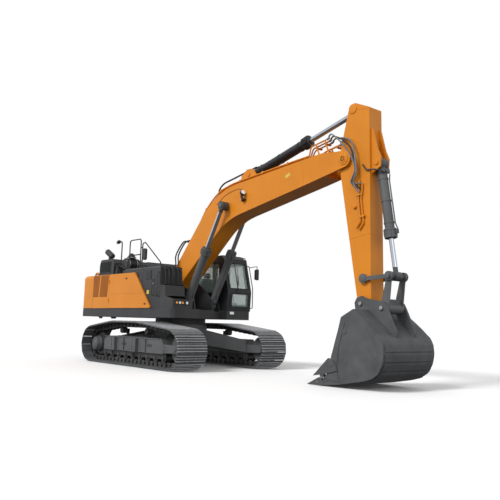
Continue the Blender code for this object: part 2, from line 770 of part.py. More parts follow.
def tank(x0, x1):
    """Bodywork of a tank: side, rounded top edge and flat inner face."""
    y0 = -HALF_UPPER + DOOR_THICKNESS + 0.007
    section = fillet([(y0, DECK_TOP + GAP), (TANK_INNER, DECK_TOP + GAP),
                      (TANK_INNER, TANK_TOP, 0.04), (y0, TANK_TOP, 0.06)], 3)
    return prism(section, x0, x1, "X")


def tool_box():
    """Low box in front of the fuel tank with two tread steps beside it."""
    y0 = -HALF_UPPER + DOOR_THICKNESS + 0.007
    outline = fillet([(TANK_FRONT + GAP, DECK_TOP + GAP), (TOOL_BOX_FRONT, DECK_TOP + GAP),
                      (TOOL_BOX_FRONT, 1.86, 0.05), (TANK_FRONT + 0.30, 1.95, 0.05),
                      (TANK_FRONT + 0.27, 2.25, 0.03), (TANK_FRONT + GAP, 2.27)], 3)
    return prism(outline, y0, -0.80)


def right_handrail():
    """U-shaped guard rail on the tank with a mid bar, a slanted rail and a mirror."""
    y = -HALF_UPPER + 0.13
    foot = TANK_TOP + GAP
    u_rail = tube([(-0.86, y, foot), (-0.86, y, 3.66), (-0.22, y, 3.66), (-0.22, y, foot)],
                  RAIL_RADIUS, 0.09)
    bars = [tube([(-0.86, y, 3.20), (-0.22, y, 3.20)], RAIL_RADIUS),
            tube([(-0.12, y, foot), (-0.12, y, 3.52), (0.02, y, 3.54), (0.90, y, foot + 0.10),
                  (0.90, y, foot)], RAIL_RADIUS, 0.05),
            tube([(-0.22, y, 3.00), (-0.12, y, 3.00)], RAIL_RADIUS),
            tube([(-0.22, y, 3.40), (-0.12, y, 3.40)], RAIL_RADIUS)]
    mirror = prism(fillet([(-0.07, 3.02, 0.06), (0.10, 3.02, 0.06), (0.10, 3.36, 0.06),
                           (-0.07, 3.36, 0.06)], 3), y - 0.03, y + 0.03)
    arm = tube([(-0.13, y, 3.19), (-0.02, y, 3.19)], RAIL_RADIUS)
    mirror = fuse(mirror, arm)
    return fuse(u_rail, *bars, mirror)


def cab_outline():
    """Side view of the cab: upright lower windscreen, leaning upper one, flat roof."""
    return [(CAB_REAR, DECK_TOP + GAP), (CAB_FRONT - 0.04, DECK_TOP + GAP),
            (CAB_FRONT, 2.19), (CAB_FRONT - 0.27, CAB_TOP - 0.09),
            (CAB_FRONT - 0.40, CAB_TOP), (CAB_REAR + 0.10, CAB_TOP),
            (CAB_REAR, CAB_TOP - 0.12)]


def cab_mid_shell():
    """A thin sheet in the middle of the cab's wall, from which the panes are taken."""
    depth = (CAB_WALL - GLASS) / 2
    outer = prism(inset(cab_outline(), depth), CAB_RIGHT + depth, CAB_LEFT - depth)
    depth += GLASS
    return cut(outer, prism(inset(cab_outline(), depth), CAB_RIGHT + depth, CAB_LEFT - depth))


def door_outline():
    return [(DOOR_REAR, 1.72), (DOOR_FRONT, 1.72), (DOOR_FRONT + 0.03, 2.17),
            (DOOR_FRONT - 0.22, 3.10), (DOOR_REAR, 3.10)]


def window_boxes():
    """Cutters of the cab's window openings: name to low and high corners."""
    y0, y1 = CAB_RIGHT + 0.10, CAB_LEFT - 0.10
    past = THROUGH
    return {
        "windshield_upper": ((CAB_FRONT - 0.50, y0, 2.27), (CAB_FRONT + past, y1, 3.06)),
        "windshield_lower": ((CAB_FRONT - 0.25, y0 + 0.08, 1.74), (CAB_FRONT + past, y1, 2.13)),
        "window_right": ((CAB_REAR + 0.14, CAB_RIGHT - past, 2.15),
                         (CAB_FRONT - 0.45, CAB_RIGHT + 0.15, 3.06)),
        "window_rear": ((CAB_REAR - past, y0, 2.25), (CAB_REAR + 0.13, y1, 3.02)),
        "window_left": ((CAB_REAR + 0.14, CAB_LEFT - 0.15, 2.20),
                        (DOOR_REAR - 0.10, CAB_LEFT + past, 3.02)),
    }


def cab_shell():
    """Hollow cab with its window openings and the doorway cut out."""
    shell = prism(cab_outline(), CAB_RIGHT, CAB_LEFT)
    inside = prism(inset(cab_outline(), CAB_WALL), CAB_RIGHT + CAB_WALL, CAB_LEFT - CAB_WALL)
    doorway = prism(door_outline(), CAB_LEFT - CAB_WALL - 0.02, CAB_LEFT + THROUGH)
    openings = [box(*corners) for corners in window_boxes().values()]
    return cut(shell, inside, doorway, *openings)


def pane(low, high):
    """The glass that fills one window opening."""
    shrink = Vector((GAP, GAP, GAP))
    return common(cab_mid_shell(), box(Vector(low) + shrink, Vector(high) - shrink))


def cab_door():
    """Door leaf with its window opening and hinge-side frame."""
    y = (CAB_LEFT - CAB_WALL + 0.005, CAB_LEFT)
    leaf = prism(inset(door_outline(), 0.005), *y)
    cut(leaf, prism(inset(door_outline(), 0.085), y[0] - THROUGH, y[1] + THROUGH))
    return fuse(leaf, *knuckles(*cab_hinge(), (1.80, 2.86), CAB_HINGE_RADIUS))


def door_glass():
    return prism(inset(door_outline(), 0.085 + GAP), CAB_LEFT - 0.035, CAB_LEFT - 0.035 + GLASS)


SEAT_X, SEAT_Y = 0.18, (CAB_RIGHT + CAB_LEFT) / 2


def seat_base():
    floor = DECK_TOP + CAB_WALL + 2 * GAP
    plinth = box((SEAT_X - 0.18, SEAT_Y - 0.20, floor), (SEAT_X + 0.26, SEAT_Y + 0.20, floor + 0.25))
    return fuse(plinth, box((SEAT_X - 0.22, SEAT_Y - 0.24, floor + 0.24),
                            (SEAT_X + 0.28, SEAT_Y + 0.24, floor + 0.30)))


def seat_cushion():
    z = DECK_TOP + CAB_WALL + 0.30 + 3 * GAP
    return box((SEAT_X - 0.20, SEAT_Y - 0.25, z), (SEAT_X + 0.32, SEAT_Y + 0.25, z + 0.13), 0.035)


def seat_back():
    z = DECK_TOP + CAB_WALL + 0.30 + 3 * GAP
    place = frame_at((SEAT_X - 0.1985, z + 0.02), math.radians(98))
    back = prism(outline_at(place, [(0, 0), (0.62, 0), (0.66, 0.04), (0.66, 0.09), (0.62, 0.12),
                                    (0, 0.12)]), SEAT_Y - 0.24, SEAT_Y + 0.24)
    head = prism(outline_at(place, [(0.64, 0.02), (0.84, 0.02), (0.84, 0.11), (0.64, 0.11)]),
                 SEAT_Y - 0.13, SEAT_Y + 0.13)
    return fuse(back, head)


def consoles():
    """Armrest consoles with control levers, joined by the cross rail in front of the seat."""
    floor = DECK_TOP + CAB_WALL + 2 * GAP
    rail = box((SEAT_X + 0.36, SEAT_Y - 0.36, floor), (SEAT_X + 0.44, SEAT_Y + 0.36, floor + 0.05))
    pieces = []
    for s in (-1, 1):
        y = sorted((SEAT_Y + s * 0.28, SEAT_Y + s * 0.385))
        pieces.append(box((SEAT_X - 0.10, y[0], floor), (SEAT_X + 0.46, y[1], floor + 0.52)))
        pieces.append(bar((SEAT_X + 0.36, SEAT_Y + s * 0.33, floor + 0.5),
                          (SEAT_X + 0.40, SEAT_Y + s * 0.33, floor + 0.70), 0.022, 10))
    return fuse(rail, *pieces)


def cab_handrail():
    """Grab rail on the left front corner of the cab, with the side mirror on it."""
    x, y = CAB_FRONT - 0.05, CAB_LEFT + GAP
    out = y + 0.09
    top = x - 0.20
    rail = tube([(x, y, 1.72), (x, out, 1.72), (x, out, 2.30), (top, out, 3.00), (top, y, 3.00)],
                0.014, 0.04)
    arm = tube([(top, out, 2.96), (x + 0.02, out + 0.14, 3.00), (x + 0.02, out + 0.14, 2.88)],
               0.012, 0.03)
    head = box((x - 0.01, out + 0.07, 2.58), (x + 0.05, out + 0.21, 2.91), 0.02)
    return fuse(rail, arm, head)


def control_valve():
    """Main hydraulic valve block behind the boom foot."""
    block = box((-0.88, -0.26, DECK_TOP + GAP), (-0.42, 0.26, 2.18), 0.02)
    return fuse(block, box((-0.82, -0.295, 1.90), (-0.48, 0.295, 2.02)))


def swing_motor():
    """Upright swing motor on its gear case."""
    return turned([(0, 0.23), (0.10, 0.23), (0.11, 0.19), (0.34, 0.19), (0.36, 0.12), (0.52, 0.12)],
                  (0.05, 0.0, DECK_TOP + GAP), (0.05, 0.0, 2.4), 24)


# ---------------------------------------------------------------- boom, arm and bucket
def boom():
    """Box-section boom with its bend, fork nose and cylinder brackets."""
    length, half = BOOM_LENGTH, BOOM_WIDTH / 2
    stretch = length - 7.03
    outline = arc((0, 0), 0.20, 215, 300, 5)
    outline += fillet([(0.22, -0.10), (2.744, 0.686, 2.3), (5.9 + stretch, 0.02, 1.2),
                       (6.7 + stretch, -0.17)], 7)[0:-1]
    outline += arc((length, 0), 0.20, 265, 410, 8)
    outline += fillet([(length - 0.10, 0.26), (6.50 + stretch, 0.49, 0.8), (2.60, 1.69, 2.3),
                       (-0.14, 0.365, 0.06)], 7)
    made = prism(outline_at(boom_at, outline), -half, half)
    slot = ARM_WIDTH / 2 + RUN
    cut(made, cross_bar(NOSE, -slot, slot, 0.66, 40))
    notch = [(6.22 + stretch, 0.85), (6.22 + stretch, 0.44), (6.50 + stretch, 0.18),
             (6.90 + stretch, 0.18), (6.90 + stretch, 0.85)]
    cut(made, prism(outline_at(boom_at, notch), -slot, slot))
    foot_bore = cross_bar(BOOM_FOOT, -half - THROUGH, half + THROUGH, BIG_PIN + 0.02)
    cut(made, foot_bore)
    cheek = outline_at(boom_at, [(3.42, 1.25), (3.62, 1.60), (3.90, 1.66), (4.10, 1.56),
                                 (4.30, 1.00)])
    pieces = []
    for s in (-1, 1):
        pieces.append(prism(fillet([(*p, 0.03) for p in cheek], 3), *sorted((s * 0.136, s * 0.18))))
        pieces.append(cross_bar(BOOM_EYE, *sorted((s * (half - 0.02), s * (half + 0.014))), 0.16))
    pieces.append(cross_bar(ARM_FOOT, -0.205, 0.205, pin_radius(BIG_PIN)))
    pieces.append(cross_bar(NOSE, -half - 0.03, half + 0.03, pin_radius(BIG_PIN + 0.01)))
    return fuse(made, *pieces)


def arm():
    """Tapered box-section arm with its lever head and the bucket cylinder's bracket."""
    length, half = ARM_LENGTH, ARM_WIDTH / 2
    stretch = length - 3.332
    outline = arc((length, 0), 0.18, -85, 80, 7)
    outline += fillet([(length - 0.06, 0.19), (-0.95, 0.865, 0.03), (-1.23, 0.46, 0.10),
                       (-1.10, 0.28, 0.12), (-0.30, -0.08, 0.5), (0.20, -0.19, 0.6),
                       (2.32 + stretch, -0.185)], 5)
    made = prism(outline_at(arm_at, outline), -half, half)
    cut(made, cross_bar(NOSE, -half - THROUGH, half + THROUGH, BIG_PIN + 0.01),
        cross_bar(TIP, -half - THROUGH, half + THROUGH, BIG_PIN),
        cross_bar(IDLER_PIN, -half - THROUGH, half + THROUGH, BIG_PIN))
    slot = outline_at(arm_at, [(-1.5, 0.1), (-0.86, 0.1), (-0.80, 0.76), (-1.5, 0.83)])
    cut(made, prism(slot, -0.125, 0.125))
    lug = outline_at(arm_at, [(-0.55, 0.70), (-0.45, 0.83), (0.05, 0.875), (0.27, 0.93),
                              (0.47, 0.88), (0.52, 0.74), (0.60, 0.55)])
    pieces = []
    for s in (-1, 1):
        pieces.append(prism(fillet([(*p, 0.03) for p in lug], 3), *sorted((s * 0.118, s * 0.160))))
    pieces.append(cross_bar(BUCKET_FOOT, -0.185, 0.185, pin_radius(BIG_PIN)))
    return fuse(made, *pieces)


def barrel(foot, eye, y, bore, radius, gland, width):
    """Cylinder barrel: foot eye, tube with its bore, and the gland at its open end."""
    direction = (Vector(eye) - Vector(foot)).normalized()

    def at(distance):
        place = Vector(foot) + direction * distance
        return (place.x, y, place.y)
    body_bar = turned([(0, 0.08), (0.12, 0.085), (0.14, radius), (gland - 0.22, radius),
                       (gland - 0.20, radius + 0.024), (gland, radius + 0.024)],
                      at(0.0), at(gland))
    eye_ring = cross_bar(foot, y - width / 2, y + width / 2, 0.125)
    made = fuse(body_bar, eye_ring)
    return cut(made, cross_bar(foot, y - width, y + width, BIG_PIN),
               bar(at(0.15), at(gland + THROUGH), bore))


def rod(foot, eye, y, bore, length, inner, outer, cap, eye_radius=0.12):
    """Piston rod with its eye from inner to outer across the machine, and its pin's cap."""
    direction = (Vector(eye) - Vector(foot)).normalized()
    back = Vector(eye) - direction * length
    made = bar((back.x, y, back.y), (eye[0], y, eye[1]), bore - SLIDE_PLAY)
    pin = (inner - cap, outer + cap) if y == 0 else sorted((y, outer + cap))
    return fuse(made, cross_bar(eye, *sorted((inner, outer)), eye_radius),
                cross_bar(eye, *pin, 0.05))


def idler_links():
    """The two idler plates outside the arm, joined by the pin through the arm."""
    inner = ARM_WIDTH / 2 + 2 * RUN + COUPLER_PLATE
    outer = EAR_GAP / 2 - RUN
    outline = [(IDLER_PIN[0] - 0.10, IDLER_PIN[1] - 0.02, 0.06),
               (IDLER_PIN[0] - 0.06, IDLER_PIN[1] - 0.10, 0.05),
               (IDLER_PIN[0] + 0.13, IDLER_PIN[1] - 0.044, 0.05),
               (IDLER_OUTER[0] + 0.02, IDLER_OUTER[1] - 0.044, 0.035),
               (IDLER_OUTER[0] + 0.02, IDLER_OUTER[1] + 0.044, 0.035),
               (IDLER_PIN[0] + 0.13, IDLER_PIN[1] + 0.044, 0.05),
               (IDLER_PIN[0] - 0.06, IDLER_PIN[1] + 0.10, 0.05)]
    made = cross_bar(IDLER_PIN, -outer, outer, pin_radius(BIG_PIN))
    for s in (-1, 1):
        y = sorted((s * inner, s * outer))
        plate = prism(fillet(outline, 2), *y)
        fuse(made, fuse(plate, cross_bar(IDLER_OUTER, *y, 0.10), cross_bar(IDLER_PIN, *y, 0.105)))
    return made


def coupler_link():
    """Link from the idlers to the bucket: two side plates on one wide lower boss and web."""
    inner = ARM_WIDTH / 2 + RUN
    outer = inner + COUPLER_PLATE
    boss_half = EAR_GAP / 2 - RUN
    lean = Vector(IDLER_OUTER) - Vector(LINK_PIN)
    place = frame_at(LINK_PIN, math.atan2(lean.y, lean.x))
    reach = lean.length
    outline = outline_at(place, [(0.0, -0.105), (0.0, 0.105), (0.14, 0.10), (reach - 0.12, 0.07),
                                 (reach, 0.08), (reach, -0.08), (reach - 0.12, -0.07),
                                 (0.14, -0.10)])
    made = cross_bar(LINK_PIN, -boss_half, boss_half, 0.115)
    web = outline_at(place, [(0.05, -0.05), (0.05, 0.05), (0.19, 0.045), (0.19, -0.045)])
    fuse(made, prism(web, -inner - 0.01, inner + 0.01))
    for s in (-1, 1):
        y = sorted((s * inner, s * outer))
        fuse(made, fuse(prism(outline, *y), cross_bar(IDLER_OUTER, *y, 0.10)))
    return cut(made, cross_bar(LINK_PIN, -1, 1, BIG_PIN))


def bucket_outline():
    """Side view of the bucket about the arm tip pin: mouth to the rear, round back."""
    return outline_at(bucket_at, [(0.22, -0.13), (-0.11, -0.30), (-0.35, -1.12), (-0.48, -1.52),
                                  (-0.62, -1.735), (-0.10, -1.675), (0.45, -1.575), (0.70, -1.51),
                                  (0.86, -1.40), (0.96, -1.22), (1.00, -1.02), (0.98, -0.84),
                                  (0.92, -0.70), (0.60, -0.42)])


def bucket():
    """Open bucket shell with its ears and the two pins they carry."""
    half = BUCKET_WIDTH / 2
    wall, side_wall = 0.045, 0.05
    outline = bucket_outline()
    shell = prism(outline, -half, half)
    mouth = inset(outline, wall)
    hollow = [mouth[0], bucket_at(-0.30, -0.34), bucket_at(-0.60, -1.12), bucket_at(-0.74, -1.60),
              bucket_at(-0.62, -1.67)] + mouth[5:]
    hollow[0] = bucket_at(0.13, -0.24)
    cut(shell, prism(hollow, -half + side_wall, half - side_wall))
    seam = inset(outline, 0.02)
    ear = outline_at(bucket_at, [(-0.165, 0.02), (-0.14, -0.14)])
    ear += [seam[1], seam[0], seam[13], seam[12]]
    ear += outline_at(bucket_at, [(0.92, -0.60), (0.68, -0.09), (0.62, 0.02), (0.53, 0.04),
                                  (0.15, 0.11), (0.02, 0.165), (-0.11, 0.12)])
    gap = EAR_GAP / 2
    plates = [prism(ear, *sorted((s * gap, s * (gap + 0.06)))) for s in (-1, 1)]
    reach = gap + 0.085
    pins = [cross_bar(at, -reach, reach, pin_radius(BIG_PIN)) for at in (TIP, LINK_PIN)]
    return fuse(shell, fuse(pins[0], *plates, pins[1]))


def bucket_teeth():
    """Five teeth on their adapters under the lip, joined by the lip plate, with side cutters."""
    half = BUCKET_WIDTH / 2
    lip = prism(outline_at(bucket_at, [(-0.78, -1.739), (-0.625, -1.739), (-0.492, -1.529),
                                       (-0.52, -1.50), (-0.63, -1.66)]), -half, half)
    tooth = [(-1.09, -1.742), (-0.70, -1.742), (-0.62, -1.735), (-0.66, -1.60), (-0.76, -1.58)]
    count = 5
    for k in range(count):
        y = -half + 0.09 + (BUCKET_WIDTH - 0.18) * k / (count - 1)
        fuse(lip, prism(outline_at(bucket_at, tooth), y - 0.065, y + 0.065))
    cutter = [(-0.86, -1.545), (-0.43, -1.155), (-0.29, -1.185), (-0.18, -1.40), (-0.56, -1.50)]
    for s in (-1, 1):
        y = sorted((s * (half + GAP), s * (half + 0.035)))
        piece = prism(outline_at(bucket_at, cutter), *y)
        tie = box((TIP[0] - 0.66, y[0] - 0.06 if s > 0 else y[0], TIP[1] - 1.56),
                  (TIP[0] - 0.56, y[1] if s > 0 else y[1] + 0.06, TIP[1] - 1.50))
        fuse(lip, fuse(piece, tie))
    return lip


# ---------------------------------------------------------------- assembly
def cylinder_sizes():
    """Barrel and rod sizes: foot, eye, bore, barrel radius, gland distance, rod length."""
    return {
        "boom": (BOOM_CYLINDER_FOOT, BOOM_EYE, 0.062, 0.108, 1.81, 1.92),
        "arm": (ARM_FOOT, ARM_EYE, 0.066, 0.125, 2.20, 2.33),
        "bucket": (BUCKET_FOOT, IDLER_OUTER, 0.055, 0.106, 1.70, 1.78),
    }


def build_undercarriage():
    finish("carbody", carbody(), "grey", "undercarriage")
    finish("swing_bearing", swing_bearing(), "black", "undercarriage")
    for suffix, side in (("left", 1), ("right", -1)):
        finish("track_" + suffix, track(side), "steel", "undercarriage")
        finish("track_frame_" + suffix, track_frame(side), "grey", "undercarriage")
        finish("sprocket_" + suffix, sprocket(side), "grey", "undercarriage")
        finish("idler_" + suffix, idler(side), "grey", "undercarriage")
        finish("rollers_" + suffix, rollers(side), "grey", "undercarriage")
        finish("carrier_rollers_" + suffix, carrier_rollers(side), "grey", "undercarriage")


def build_upper():
    finish("main_frame", main_frame(), "black", "upper")
    finish("counterweight", counterweight(), "orange", "upper")
    finish("engine", box((-2.35, -0.45, DECK_TOP + GAP), (-1.25, 0.60, 2.48)), "grey", "upper")
    finish("engine_bay", engine_bay(), "black", "upper")
    finish("rear_panel_right",
           side_skin(-1, TAIL_FRONT + RUN, STRIPE_END - RUN, STRIPE_END - RUN, DECK_TOP + GAP),
           "orange", "upper")
    finish("rear_panel_left",
           side_skin(1, TAIL_FRONT + RUN, STRIPE_END - RUN, STRIPE_END - RUN, DECK_TOP + GAP),
           "orange", "upper")
    finish("muffler_housing", muffler_housing(), "black", "upper")
    finish("exhaust", exhaust(), "steel", "upper")
    finish("air_cleaner", air_cleaner(), "black", "upper")
    finish("hydraulic_tank", tank(FIREWALL + GAP, TANK_SPLIT - GAP), "black", "upper")
    finish("fuel_tank", tank(TANK_SPLIT, TANK_FRONT), "black", "upper")
    finish("tool_box", tool_box(), "black", "upper")
    finish("battery_box", box((FIREWALL + GAP, CAB_RIGHT, DECK_TOP + GAP),
                              (CAB_REAR - 0.03, HALF_UPPER - DOOR_THICKNESS - 0.007, BODY_TOP)),
           "black", "upper")
    finish("right_handrail", right_handrail(), "black", "upper")
    finish("control_valve", control_valve(), "steel", "upper")
    finish("swing_motor", swing_motor(), "steel", "upper")


def build_doors():
    finish("engine_hood", engine_hood(), "black", "engine_hood")
    finish("side_door_right", side_door(-1, RIGHT_DOOR_LOW_FRONT, RIGHT_DOOR_TOP_FRONT),
           "orange", "side_door_right")
    finish("side_door_left", side_door(1, LEFT_DOOR_LOW_FRONT, LEFT_DOOR_TOP_FRONT),
           "orange", "side_door_left")


def build_cab():
    finish("cab_shell", cab_shell(), "black", "upper")
    for name, corners in window_boxes().items():
        finish(name, pane(*corners), "glass", "upper")
    finish("seat_base", seat_base(), "black", "upper")
    finish("seat_cushion", seat_cushion(), "fabric", "upper")
    finish("seat_back", seat_back(), "fabric", "upper")
    finish("consoles", consoles(), "black", "upper")
    finish("cab_handrail", cab_handrail(), "black", "upper")
    finish("cab_door", cab_door(), "black", "cab_door")
    finish("door_glass", door_glass(), "glass", "cab_door")


def build_front():
    finish("boom", boom(), "orange", "boom")
    finish("arm", arm(), "orange", "arm")
    finish("bucket", bucket(), "grey", "bucket")
    finish("bucket_teeth", bucket_teeth(), "steel", "bucket")
    finish("idler_links", idler_links(), "grey", "idler_links")
    finish("coupler_link", coupler_link(), "grey", "coupler_link")
    sizes = cylinder_sizes()
    foot, eye, bore, radius, gland, length = sizes["boom"]
    boss = BOOM_WIDTH / 2 + 0.014
    for suffix, side in (("left", 1), ("right", -1)):
        y = side * BOOM_CYLINDER_Y
        finish("boom_barrel_" + suffix, barrel(foot, eye, y, bore, radius, gland, 0.11),
               "grey", "boom_barrels")
        inner, outer = side * (boss + 2 * GAP), side * (BOOM_CYLINDER_Y + 0.07)
        finish("boom_rod_" + suffix, rod(foot, eye, y, bore, length, inner, outer, side * 0.012),
               "chrome", "boom_rods")
    foot, eye, bore, radius, gland, length = sizes["arm"]
    finish("arm_barrel", barrel(foot, eye, 0, bore, radius, gland, 0.26), "black", "arm_barrel")
    finish("arm_rod", rod(foot, eye, 0, bore, length, -0.112, 0.112, 0.005),
           "chrome", "arm_rod")
    foot, eye, bore, radius, gland, length = sizes["bucket"]
    finish("bucket_barrel", barrel(foot, eye, 0, bore, radius, gland, 0.22),
           "grey", "bucket_barrel")
    finish("bucket_rod", rod(foot, eye, 0, bore, length, -0.105, 0.105, 0.110, 0.10),
           "chrome", "bucket_rod")


def upright(at, z):
    return (at[0], at[1], z)


def side_point(at, y=0.0):
    return (at[0], y, at[1])


def main():
    for thing in list(bpy.data.objects):
        bpy.data.objects.remove(thing)
    body("undercarriage", (0, 0, 0))
    body("upper", (0, 0, DECK_BOTTOM), "undercarriage")
    body("boom", side_point(BOOM_FOOT), "upper")
    body("boom_barrels", side_point(BOOM_CYLINDER_FOOT), "upper")
    body("boom_rods", side_point(BOOM_EYE), "boom_barrels")
    body("arm", side_point(NOSE), "boom")
    body("arm_barrel", side_point(ARM_FOOT), "boom")
    body("arm_rod", side_point(ARM_EYE), "arm_barrel")
    body("bucket", side_point(TIP), "arm")
    body("bucket_barrel", side_point(BUCKET_FOOT), "arm")
    body("bucket_rod", side_point(IDLER_OUTER), "bucket_barrel")
    body("idler_links", side_point(IDLER_PIN), "arm")
    body("coupler_link", side_point(LINK_PIN), "bucket")
    body("engine_hood", side_point(hood_hinge(), 0), "upper")
    body("side_door_right", upright(side_hinge(-1), DECK_TOP), "upper")
    body("side_door_left", upright(side_hinge(1), DECK_TOP), "upper")
    body("cab_door", upright(cab_hinge(), DECK_TOP), "upper")
    build_undercarriage()
    build_upper()
    build_doors()
    build_cab()
    build_front()
    BODIES["undercarriage"]["empty"].location.x = ORIGIN_SHIFT


main()
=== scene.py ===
# Crawler excavator: finishes, fittings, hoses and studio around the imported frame.
import bpy
import json
import math
import numpy as np
from mathutils import Matrix, Vector


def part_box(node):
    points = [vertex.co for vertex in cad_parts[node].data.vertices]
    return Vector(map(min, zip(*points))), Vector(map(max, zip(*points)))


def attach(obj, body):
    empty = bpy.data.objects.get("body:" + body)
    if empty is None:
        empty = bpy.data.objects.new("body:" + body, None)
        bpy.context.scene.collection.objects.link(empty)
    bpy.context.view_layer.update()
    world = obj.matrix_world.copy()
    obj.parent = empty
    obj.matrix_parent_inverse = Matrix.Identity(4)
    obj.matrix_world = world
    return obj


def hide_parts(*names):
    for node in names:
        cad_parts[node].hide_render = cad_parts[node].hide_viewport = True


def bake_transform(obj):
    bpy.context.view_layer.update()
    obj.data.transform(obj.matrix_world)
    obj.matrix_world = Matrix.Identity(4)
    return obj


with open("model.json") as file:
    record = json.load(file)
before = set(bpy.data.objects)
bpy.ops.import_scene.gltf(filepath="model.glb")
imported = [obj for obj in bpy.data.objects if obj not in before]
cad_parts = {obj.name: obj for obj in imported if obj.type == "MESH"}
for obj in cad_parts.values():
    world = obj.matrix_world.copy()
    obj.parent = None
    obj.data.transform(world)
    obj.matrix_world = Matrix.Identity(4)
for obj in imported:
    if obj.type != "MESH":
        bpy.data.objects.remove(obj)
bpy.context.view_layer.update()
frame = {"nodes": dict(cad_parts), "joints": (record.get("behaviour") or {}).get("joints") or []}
print("frame loaded")

# surfaces: points, corner numbers of all faces in a row, corners per face


# a grid of rows by columns: each point and its next neighbours make a quad, columns close on themselves
def lofted(rings):
    rings = np.asarray(rings, float)
    rows, columns = rings.shape[:2]
    r, c = np.arange(rows - 1)[:, None], np.arange(columns)[None, :]
    beside = (c + 1) % columns
    quads = np.stack([r * columns + c, r * columns + beside, (r + 1) * columns + beside, (r + 1) * columns + c], -1)
    ends = [np.arange(columns)[::-1], (rows - 1) * columns + np.arange(columns)]
    return (rings.reshape(-1, 3), np.concatenate([quads.ravel(), *ends]),
            np.append(np.full(quads.size // 4, 4), [columns, columns]))


# several surfaces in one: corner numbers shift by the points before them
def joined(*parts):
    shifts = np.cumsum([0] + [len(part[0]) for part in parts[:-1]])
    return (np.concatenate([part[0] for part in parts]),
            np.concatenate([part[1] + shift for part, shift in zip(parts, shifts)]),
            np.concatenate([part[2] for part in parts]))


# copies of one surface: point = origin + local x, y, z along the copy's own three axes
def copies(shape, origins, axes=None):
    origins = np.asarray(origins, float).reshape(-1, 3)
    if axes is None:
        axes = np.broadcast_to(np.eye(3), (len(origins), 3, 3))
    points = origins[:, None] + np.einsum("nk,mkj->mnj", shape[0], np.asarray(axes, float))
    shift = np.arange(len(origins))[:, None] * len(shape[0])
    return points.reshape(-1, 3), (shape[1][None] + shift).ravel(), np.tile(shape[2], len(origins))


def unit(vectors):
    vectors = np.asarray(vectors, float)
    return vectors / np.linalg.norm(vectors, axis=-1, keepdims=True)


def circle(sides, start=0.0):
    return np.linspace(0, 2 * math.pi, sides, endpoint=False) + start


# a circle of given radius carried along the path, square to the path's slope
def tube(path, radius, sides=8, reference=(0.19, 0.97, 0.13)):
    path = np.asarray(path, float)
    slope = unit(np.gradient(path, axis=0))
    across = unit(np.asarray(reference) - (slope @ np.asarray(reference))[:, None] * slope)
    other = np.cross(slope, across)
    turn = circle(sides)[None, :, None]
    size = np.broadcast_to(np.asarray(radius, float).reshape(-1, 1, 1), (len(path), 1, 1))
    return lofted(path[:, None] + size * (np.cos(turn) * across[:, None] + np.sin(turn) * other[:, None]))


# a profile of distance and radius turned about the line from start toward the second point
def turned(profile, start, toward, sides=20):
    profile, start = np.asarray(profile, float), np.asarray(start, float)
    axis = unit(np.asarray(toward, float) - start)
    guide = np.array([0.0, 0.0, 1.0]) if abs(axis[2]) < 0.9 else np.array([1.0, 0.0, 0.0])
    across = unit(guide - guide @ axis * axis)
    other = np.cross(axis, across)
    turn = circle(sides)[None, :, None]
    return lofted(start + profile[:, :1, None] * axis
                  + profile[:, 1:, None] * (np.cos(turn) * across + np.sin(turn) * other))


# a flat outline moved along x, y or z from low to high, turned so that its faces look outward
def prism(outline, low, high, axis="y"):
    flat = np.asarray(outline, float)
    area = np.sum(flat[:, 0] * np.roll(flat[:, 1], -1) - np.roll(flat[:, 0], -1) * flat[:, 1])
    if (area > 0) == (axis == "y"):
        flat = flat[::-1]
    return lofted(np.stack([np.insert(flat, "xyz".index(axis), level, axis=1) for level in (low, high)]))


# a box between two corners
def block(low, high):
    low, high = np.minimum(low, high), np.maximum(low, high)
    return prism([low[:2], (high[0], low[1]), high[:2], (low[0], high[1])], low[2], high[2], "z")


# a smooth curve through the points: on each span a cubic whose end slopes follow the neighbours
def curved(points, perSpan=7):
    p = np.asarray(points, float)
    p = np.concatenate([2 * p[:1] - p[1:2], p, 2 * p[-1:] - p[-2:-1]])
    t = np.linspace(0, 1, perSpan, endpoint=False)[None, :, None]
    a, b, c, d = (p[k:len(p) - 3 + k, None, :] for k in range(4))
    spans = 0.5 * (2 * b + (c - a) * t + (2 * a - 5 * b + 4 * c - d) * t ** 2 + (3 * b - a - 3 * c + d) * t ** 3)
    return np.concatenate([spans.reshape(-1, p.shape[1]), p[-2:-1]])


# a pipe's centre line: straight runs joined by parabolas that start and end a bend away from each corner
def bent(points, bend=0.06, steps=5):
    p = np.asarray(points, float)
    before, after = unit(p[1:-1] - p[:-2]), unit(p[2:] - p[1:-1])
    t = np.linspace(0, 1, steps)[None, :, None]
    middle = p[1:-1, None]
    turns = ((1 - t) ** 2 * (middle - bend * before[:, None]) + 2 * t * (1 - t) * middle
             + t ** 2 * (middle + bend * after[:, None]))
    return np.concatenate([p[:1], turns.reshape(-1, p.shape[1]), p[-1:]])


# hexagon bolt heads standing on a plane that faces along the normal, at the given places
def bolts(places, normal, radius=0.016, height=0.012):
    turn = circle(6)
    ring = np.stack([np.cos(turn), np.sin(turn), np.zeros(6)], 1)
    head = lofted(np.stack([ring * radius, ring * radius + (0, 0, height * 0.8), ring * radius * 0.8 + (0, 0, height)]))
    normal = unit(normal)
    guide = np.array([1.0, 0, 0]) if abs(normal[0]) < 0.9 else np.array([0, 1.0, 0])
    first = unit(guide - guide @ normal * normal)
    places = np.asarray(places, float).reshape(-1, 3)
    axes = np.broadcast_to(np.stack([first, np.cross(normal, first), normal]), (len(places), 3, 3))
    return copies(head, places, axes)


# a round cap that stands sideways at (x, y, z); its profile is distance and radius
def sideCap(profile, x, y, z, side, sides=24):
    return turned(profile, (x, y, z), (x, y + side, z), sides)


# places: the joints give every axis, and each link has its own plane of along, y and up

pins = {joint["child"]: np.array(joint["pos_m"], float) for joint in frame["joints"] if "pos_m" in joint}
swing = pins["upper"]


